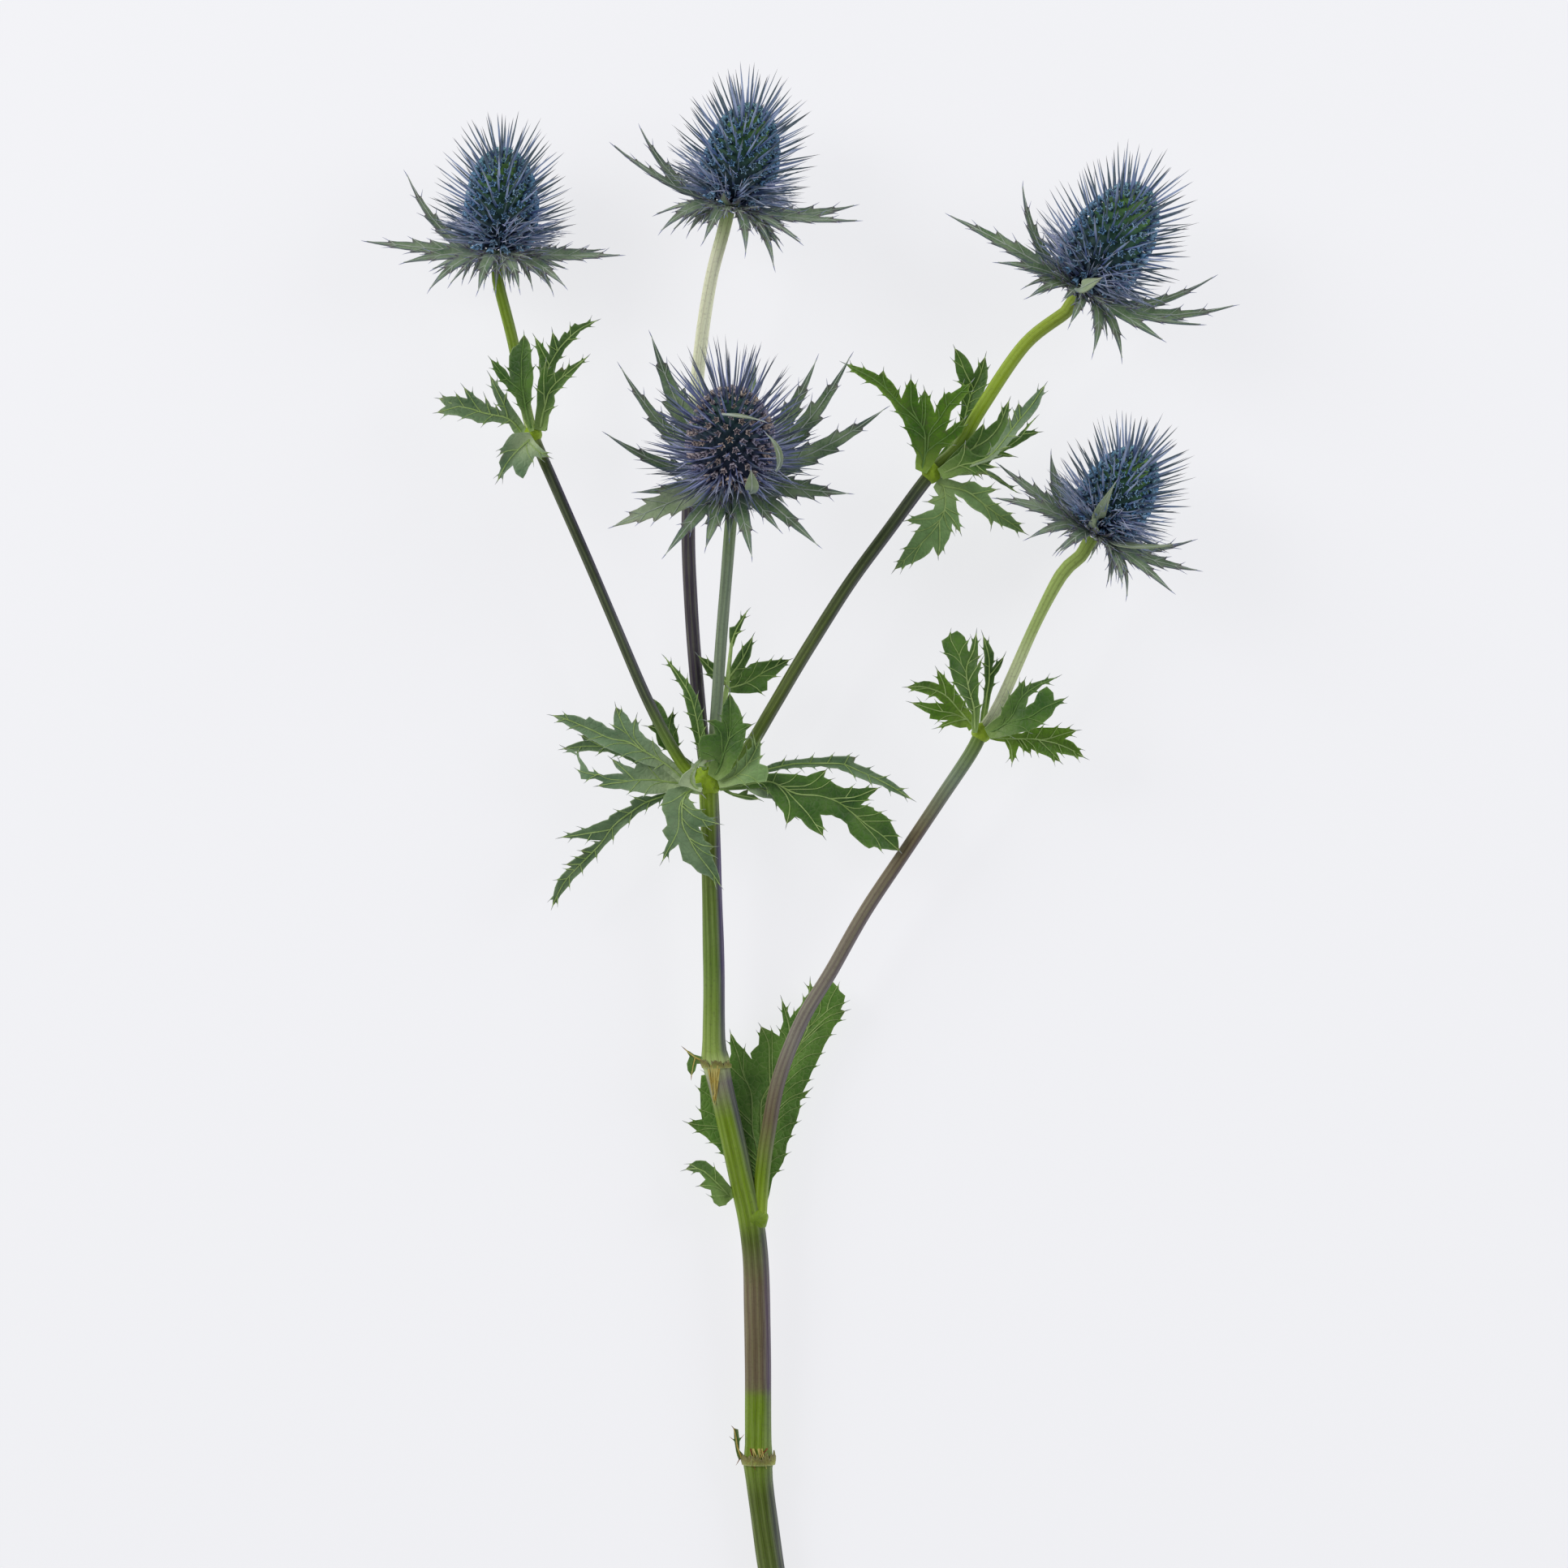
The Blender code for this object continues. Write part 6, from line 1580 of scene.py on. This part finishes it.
STARS_BLUE = star_finish("stars_blue", ("98ccf8", "c4e8fc"), "14384c", "a0dcc4")
STARS_TAN = star_finish("stars_tan", ("d0cce8", "ffe6cc"), "342c40", "ffe8c8")
LANCES_BLUE = bracteole_finish(
    "lances_blue", [(0.0, "4c5ca0"), (0.25, "6478b0"), (0.55, "7890b8"), (1.0, "6c8088")],
    "28484c", "b8c6e4", "54382e")
LANCES_VIOLET = bracteole_finish(
    "lances_violet", [(0.0, "34386c"), (0.25, "545e98"), (0.55, "6c7aac"), (1.0, "586880")],
    "223840", "a4aed6", "42364a")
THREADS = bracteole_finish(
    "threads", [(0.0, "8c92c8"), (0.4, "b4b8e0"), (0.8, "c8cce6"), (1.0, "c4c6d4")],
    "a0acbc", "dce0f4", "acaabc")
print("cone finishes ready")


# %% [markdown]
# The flower's template is a cone whose top rim is pulled out into five points. The
# bracteole's is a flat ring of six points, extruded through a few sizes to a tip.


# %% Templates for one flower and one bracteole
def star_template():
    """A ribbed cup that opens into five lobes, one millimetre in radius."""
    bm = bmesh.new()
    along = bm.verts.layers.float.new("along")
    bmesh.ops.create_cone(bm, cap_ends=True, segments=10, radius1=0.42, radius2=0.55, depth=1.6)
    bmesh.ops.translate(bm, verts=bm.verts, vec=(0.0, 0.0, 0.8))
    top = max(bm.faces, key=lambda f: f.calc_center_median().z)
    rim = sorted(top.verts, key=lambda v: math.atan2(v.co.y, v.co.x))
    for number, vert in enumerate(rim):
        vert[along] = 1.0 if number % 2 else 0.7
        reach = 1.0 if number % 2 else 0.45
        vert.co = Vector((vert.co.x, vert.co.y, 0.0)).normalized() * reach
        vert.co.z = 1.85 if number % 2 else 1.55
    bmesh.ops.inset_individual(bm, faces=[top], thickness=0.22, depth=-0.22)
    for vert in top.verts:
        vert[along] = 0.1
    heart = bmesh.ops.poke(bm, faces=[top])["verts"][0]
    heart[along] = 0.5
    heart.co.z += 0.35
    bmesh.ops.recalc_face_normals(bm, faces=bm.faces)
    return mesh_of(bm, "star")


# Each ring: share of the length, half width, half thickness.
LANCE_RINGS = ((0.0, 0.34, 0.28), (0.16, 0.45, 0.36), (0.40, 0.50, 0.36), (0.68, 0.35, 0.25),
               (0.88, 0.15, 0.11))


def lance_template():
    """A flat, pointed lance along Z, one unit long and one unit across."""
    bm = bmesh.new()
    along = bm.verts.layers.float.new("along")
    ring = bmesh.ops.create_circle(bm, cap_ends=True, segments=6, radius=1.0)["verts"]
    edges = bm.edges[:]
    shape = [vert.co.copy() for vert in ring]
    for number, (share, half, thick) in enumerate(LANCE_RINGS):
        if number:
            made = bmesh.ops.extrude_edge_only(bm, edges=edges)["geom"]
            ring = [g for g in made if isinstance(g, bmesh.types.BMVert)]
            edges = [g for g in made if isinstance(g, bmesh.types.BMEdge)]
            ring = [min(ring, key=lambda v: (v.co - old).length) for old in last]
        for vert, corner in zip(ring, shape):
            vert.co = Vector((corner.x * half, corner.y * thick, share))
            vert[along] = share
        last = [vert.co.copy() for vert in ring]
    cap = bmesh.ops.edgeloop_fill(bm, edges=edges)["faces"]
    point = bmesh.ops.poke(bm, faces=cap)["verts"][0]
    point.co = Vector((0.0, 0.0, 1.0))
    point[along] = 1.0
    bmesh.ops.recalc_face_normals(bm, faces=bm.faces)
    return mesh_of(bm, "lance")


STAR = star_template()
LANCE = lance_template()
print("star faces:", len(STAR.polygons), "lance faces:", len(LANCE.polygons))

# %% [markdown]
# The core is an egg, widest a third of the way up. Every copy's vertices are moved one by
# one, which lets a bracteole bend and keep a number for its place along its length. Copies
# are added forty at a time, because a small bmesh is quick to search and a big one isn't.

# %% Places on the cone
GOLDEN = (math.sqrt(5) - 1) / 2
WIDEST = 0.36               # where the core is widest, as a share of its height
CONE_BASE = 2.05            # where the core starts, above the collar's foot
BATCH = 40                  # copies added to one small bmesh
UP = Vector((0.0, 0.0, 1.0))


def egg(share, angle, width, height):
    """A point on the egg-shaped core, the outward direction there and the level one."""
    def profile(s):
        s = min(1.0, max(0.0, s))
        if s < WIDEST:
            radius = math.sqrt(1 - ((WIDEST - s) / WIDEST) ** 4)
        else:
            radius = math.sqrt(1 - ((s - WIDEST) / (1 - WIDEST)) ** 2)
        return radius * width / 2, CONE_BASE + (height - CONE_BASE) * s

    radius, z = profile(share)
    below, above = profile(share - 0.01), profile(share + 0.01)
    out = Vector((above[1] - below[1], below[0] - above[0])).normalized()
    turn = Vector((math.cos(angle), math.sin(angle), 0.0))
    return turn * radius + Vector((0, 0, z)), turn * out.x + Vector((0, 0, out.y)), turn


def cone_layers(bm):
    """The numbers that a cone's finishes read at each vertex."""
    return [bm.verts.layers.float.new(name) for name in ("along", "tint", "level")]


def crowd(bm, copies):
    """Add copies of templates. A copy is (template, material, tint, level, place)."""
    for start in range(0, len(copies), BATCH):
        batch = bmesh.new()
        layers = cone_layers(batch)
        for mesh, material, tint, level, place in copies[start:start + BATCH]:
            first, faces = len(batch.verts), len(batch.faces)
            batch.from_mesh(mesh)
            for vert in batch.verts[first:]:
                vert[layers[1]] = tint
                vert[layers[2]] = level
                vert.co = place(vert.co)
            for face in batch.faces[faces:]:
                face.material_index = material
        absorb(bm, batch)


def star_place(point, out, size, spin):
    """Stands a star on the core, square to it."""
    side = out.orthogonal().normalized()
    side.rotate(Matrix.Rotation(spin, 3, out))
    other = out.cross(side)
    return lambda co: point + (side * co.x + other * co.y) * size + out * co.z * size


def lance_place(root, ahead, length, width, bow, roll):
    """Stands a bracteole on the core, flat side to the cone's tip, bowed upwards."""
    side = ahead.cross(UP)
    side = side.normalized() if side.length > 0.05 else ahead.orthogonal().normalized()
    side.rotate(Matrix.Rotation(roll, 3, ahead))
    flat = side.cross(ahead).normalized()

    def place(co):
        run = length * co.z
        middle = root + ahead * run + UP * bow * co.z ** 2
        return middle + side * co.x * width + flat * co.y * width

    return place


def cone_core(width, height):
    """The egg-shaped core under the flowers, a little bumpy."""
    bm = bmesh.new()
    level_layer = bm.verts.layers.float.new("level")
    bmesh.ops.create_uvsphere(bm, u_segments=36, v_segments=28, radius=1.0)
    for vert in bm.verts:
        share = (1 + max(-1.0, min(1.0, vert.co.z))) / 2
        vert[level_layer] = share
        point, out, turn = egg(share, math.atan2(vert.co.y, vert.co.x), width, height)
        vert.co = point + out * 0.25 * noise.noise(point * 1.1)
    return bm


# %% [markdown]
# The core carries four crowds. Stars with three small sepals each cover it. Bracteoles stand
# between them, level at the foot and steeper towards the tip. Longer ones make a skirt at the
# foot, and pale threads fill the space round it.

# %% The crowds on a cone
STARS = 200
STAR_SIZE = 1.12            # radius of a flower at the cone's middle
STAR_LIFT = 0.35
SEPALS = 3
SEPAL_WIDTH = 0.34
LANCES = 210
LANCE_SUNK = 0.4
SKIRT_LANCES = 46
THREAD_COUNT = 200


def flowers(rng, size):
    """Stars on a golden spiral, each with its sepals."""
    copies = []
    for number in range(STARS):
        share, angle = (number + 0.5) / STARS, number * math.tau * GOLDEN
        point, out, turn = egg(share, angle, *size)
        large = (STAR_SIZE - 0.3 * max(0.0, share * 2 - 1) ** 2) * rng.uniform(0.88, 1.1)
        tint = rng.random()
        copies.append((STAR, 1, tint, share,
                       star_place(point + out * STAR_LIFT, out, large, rng.uniform(0, 2))))
        for sepal in range(SEPALS):
            lean = Vector((rng.uniform(-1, 1), rng.uniform(-1, 1), rng.uniform(-1, 1))) * 0.45
            foot = point + (lean - out * lean.dot(out)) * 1.6
            place = lance_place(foot, (out + lean * 0.6).normalized(), rng.uniform(1.8, 2.9),
                                SEPAL_WIDTH, 0.0, rng.uniform(-1, 1))
            # Sepals take only high tints, so they get the darker colour with its painted shade.
            copies.append((LANCE, 2, rng.uniform(0.5, 1.0), share, place))
    return copies


def bracteoles(rng, size, needle, count, slimness):
    """Bracteoles between the flowers, on a golden spiral of their own."""
    copies = []
    for number in range(count):
        share = (number + 0.5) / count
        angle = (number * GOLDEN + 0.37) * math.tau + rng.uniform(-0.1, 0.1)
        point, out, turn = egg(share, angle, *size)
        base = turn.lerp(out, min(1.0, share / 0.3))
        lean = 0.24 + 0.30 * share + rng.uniform(-0.14, 0.14)
        sway = Vector((rng.uniform(-0.1, 0.1), rng.uniform(-0.1, 0.1), 0.0))
        ahead = (base.normalized() + UP * lean + sway).normalized()
        length = (needle + 2.8) * rng.uniform(0.82, 1.16) * (1 - 0.10 * share)
        place = lance_place(point - out * LANCE_SUNK, ahead, length,
                            rng.uniform(0.46, 0.74) * slimness,
                            rng.uniform(0.2, 1.4), rng.uniform(-1.2, 1.2))
        copies.append((LANCE, 2, rng.random(), share, place))
    return copies


def skirt(rng, size, needle):
    """Longer bracteoles that stand out level from the cone's foot."""
    copies = []
    for number in range(SKIRT_LANCES):
        share, angle = rng.uniform(0.01, 0.16), rng.uniform(0, math.tau)
        point, out, turn = egg(share, angle, *size)
        ahead = (turn + UP * rng.uniform(-0.12, 0.30)).normalized()
        length = (needle + 4.5) * rng.uniform(0.75, 1.1)
        place = lance_place(point - turn * 1.5, ahead, length, rng.uniform(0.45, 0.75),
                            rng.uniform(-0.5, 1.5), rng.uniform(-1.2, 1.2))
        copies.append((LANCE, 2, rng.uniform(0.0, 0.8), share, place))
    return copies


def threads(rng, size):
    """Thin pale threads round the cone's foot."""
    copies = []
    for number in range(THREAD_COUNT):
        share, angle = rng.uniform(0.01, 0.30), rng.uniform(0, math.tau)
        point, out, turn = egg(share, angle, *size)
        sway = Vector((rng.uniform(-0.4, 0.4), rng.uniform(-0.4, 0.4), rng.uniform(-0.2, 0.5)))
        place = lance_place(point, (turn + sway).normalized(), rng.uniform(6.0, 13.0),
                            rng.uniform(0.26, 0.40), rng.uniform(-1.5, 2.0), rng.uniform(-1, 1))
        copies.append((LANCE, 3, rng.random(), share, place))
    return copies


# %% [markdown]
# The front head is seen from above, where its bracteoles lie crowded and slender, so it has
# more of them and they are slimmer. Its flowers are tan and its bracteoles violet.

# %% Cone maker
CORE_SHARE = 0.84           # the core is narrower than the cone with its flowers
FLOWER_ROOM = 1.3           # and lower by this
FRONT_EXTRA = 50
FRONT_SLIMNESS = 0.82


def make_cone(head, seed):
    """The core with its flowers, bracteoles and threads, as a bmesh."""
    rng = random.Random(seed)
    width, height, needle = HEADS[head][3:]
    size = (width * CORE_SHARE, height - FLOWER_ROOM)
    front = head == "front"
    copies = flowers(rng, size)
    copies += bracteoles(rng, size, needle, LANCES + (FRONT_EXTRA if front else 0),
                         FRONT_SLIMNESS if front else 1.0)
    copies += skirt(rng, size, needle)
    copies += threads(rng, size)
    bm = bmesh.new()
    cone_layers(bm)
    absorb(bm, cone_core(*size), 0)
    crowd(bm, copies)
    bmesh.ops.transform(bm, matrix=head_matrix(head), verts=bm.verts)
    return bm


# %% Grow every cone
cone_triangles = 0
for number, head in enumerate(HEADS):
    violet = head == "front"
    finishes = [CORE_VIOLET if violet else CORE_BLUE, STARS_TAN if violet else STARS_BLUE,
                LANCES_VIOLET if violet else LANCES_BLUE, THREADS]
    cone_piece = finish_piece(make_cone(head, 400 + number), f"cone_{head}_grown", finishes,
                              "cone_" + head)
    cone_triangles += faces_of(cone_piece)
print("cone triangles:", cone_triangles)

# %% [markdown]
# ## Torn places
# Two leaves were pulled off the main stem. Each left a ragged flap and torn fibres, and the
# leaf bases that clasp the stem have withered to a ragged sheath. A sheath's flaps are cut
# from the same kind of blade as a leaf, wrapped round the stem.

# %% Sheaths and fibres
# Sheaths: where the flaps start, how high they are and their angles round the stem.
SHEATHS = {"torn_leaf": (-58.2, 3.4, (-0.9, 0.1, 0.9)),
           "torn_stub": (-161.9, 4.2, (-1.2, -0.65, -0.05, 0.55, 1.15))}
# Fibres: how many, from where and to where: lowest x, highest x and y.
FIBRES = {"torn_leaf": (16, (-24.0, -20.8, -57.4), (-22.6, -21.8, -68.0)),
          "torn_stub": (7, (-13.4, -8.4, -157.4), (-13.4, -8.4, -163.0))}
FIBRE_RADIUS = 0.22
FIBRE_STEPS = 4
FLAP_GRID = 0.6


def stem_at(y):
    """The main stem's middle and diameter where it crosses a given y."""
    for a, b in zip(MAIN_STEM, MAIN_STEM[1:]):
        if a[1] <= y <= b[1]:
            t = (y - a[1]) / (b[1] - a[1])
            return [p + (q - p) * t for p, q in zip(a, b)]


def on_stem(x, y, lift):
    """A point on the front of the main stem, lifted a little."""
    middle, y, z, diameter = stem_at(y)
    off = min(0.96 * diameter / 2, abs(x - middle))
    return Vector((x, y, z + math.sqrt(diameter ** 2 / 4 - off ** 2) + lift))


def sheath_flap(angle, low, height, rng):
    """A ragged flap that hugs the stem, at an angle from the side that faces the camera."""
    half = rng.uniform(1.3, 1.9)
    loop = [Vector((-half, 0.0)), Vector((half, 0.0))]
    for k in range(7):
        x = half * (1 - k / 3)
        loop.append(Vector((x, height * rng.uniform(0.45, 1.0) * (1 - 0.25 * abs(x) / half))))
    rib = rib_tree([[Vector((0.0, 0.0)), Vector((0.0, height))]])

    def place(flat):
        x, y, z, diameter = stem_at(low + flat.y)
        reach = diameter / 2 + 0.35 + 0.13 * flat.y
        turn = angle + flat.x / reach
        return Vector((x + math.sin(turn) * reach, y, z + math.cos(turn) * reach))

    return fine_blade(loop, FLAP_GRID, place, Vector((0.0, -1.0)), 2.0, loop[2:], rib)


def fibre(top_row, foot_row, rng):
    """One torn fibre that runs down the stem, tan or brown."""
    top = rng.uniform(*top_row[:2]), top_row[2]
    foot = rng.uniform(*foot_row[:2]), foot_row[2]
    end = rng.uniform(0.55, 1.0)
    route = []
    for k in range(FIBRE_STEPS + 1):
        t = k / FIBRE_STEPS * end
        x, y = top[0] + (foot[0] - top[0]) * t, top[1] + (foot[1] - top[1]) * t
        point = on_stem(x, y, 0.10 + rng.uniform(0.0, 0.35))
        route.append((*point, FIBRE_RADIUS * (1 - 0.7 * k / FIBRE_STEPS)))
    return rng.choice((1, 1, 2)), route


# %% Make the torn places
TORN_SUNK = 0.5             # a torn foot still grows into the stem
TORN_FOOT = 0.9             # half width of a torn foot
TORN_GRID = 0.6
TORN_REACH = 3.0            # how far a torn foot's paler green reaches
for name, seed in (("torn_leaf", 501), ("torn_stub", 502)):
    rng = random.Random(seed)
    seat, direction, ((lift, rise, arch, fold, blade, outline),) = LEAVES[name]
    centre, radius = PLAIN_SEATS[seat]
    centre = Vector(centre)
    reach = Vector(direction).normalized() * (radius + SEAT_GAP - TORN_SUNK)
    start = reach.to_2d()
    loop = leaf_loop(outline, start, TORN_FOOT, 0.0)
    bm = make_leaf(loop, start, centre, centre.z + reach.z + lift, (rise, arch, fold), seed,
                   TORN_REACH, TORN_GRID, blade)
    low, height, angles = SHEATHS[name]
    for angle in angles:
        flap = sheath_flap(angle, low, height * rng.uniform(0.7, 1.0), rng)
        for face in flap.faces:
            face.material_index = 3
        absorb(bm, flap)
    count, top_row, foot_row = FIBRES[name]
    absorb(bm, strands([fibre(top_row, foot_row, rng) for number in range(count)]))
    finish_piece(bm, name + "_grown", [LEAF_GREEN, TORN_TAN, TORN_BROWN, SHEATH], name)
print("torn pieces ready")
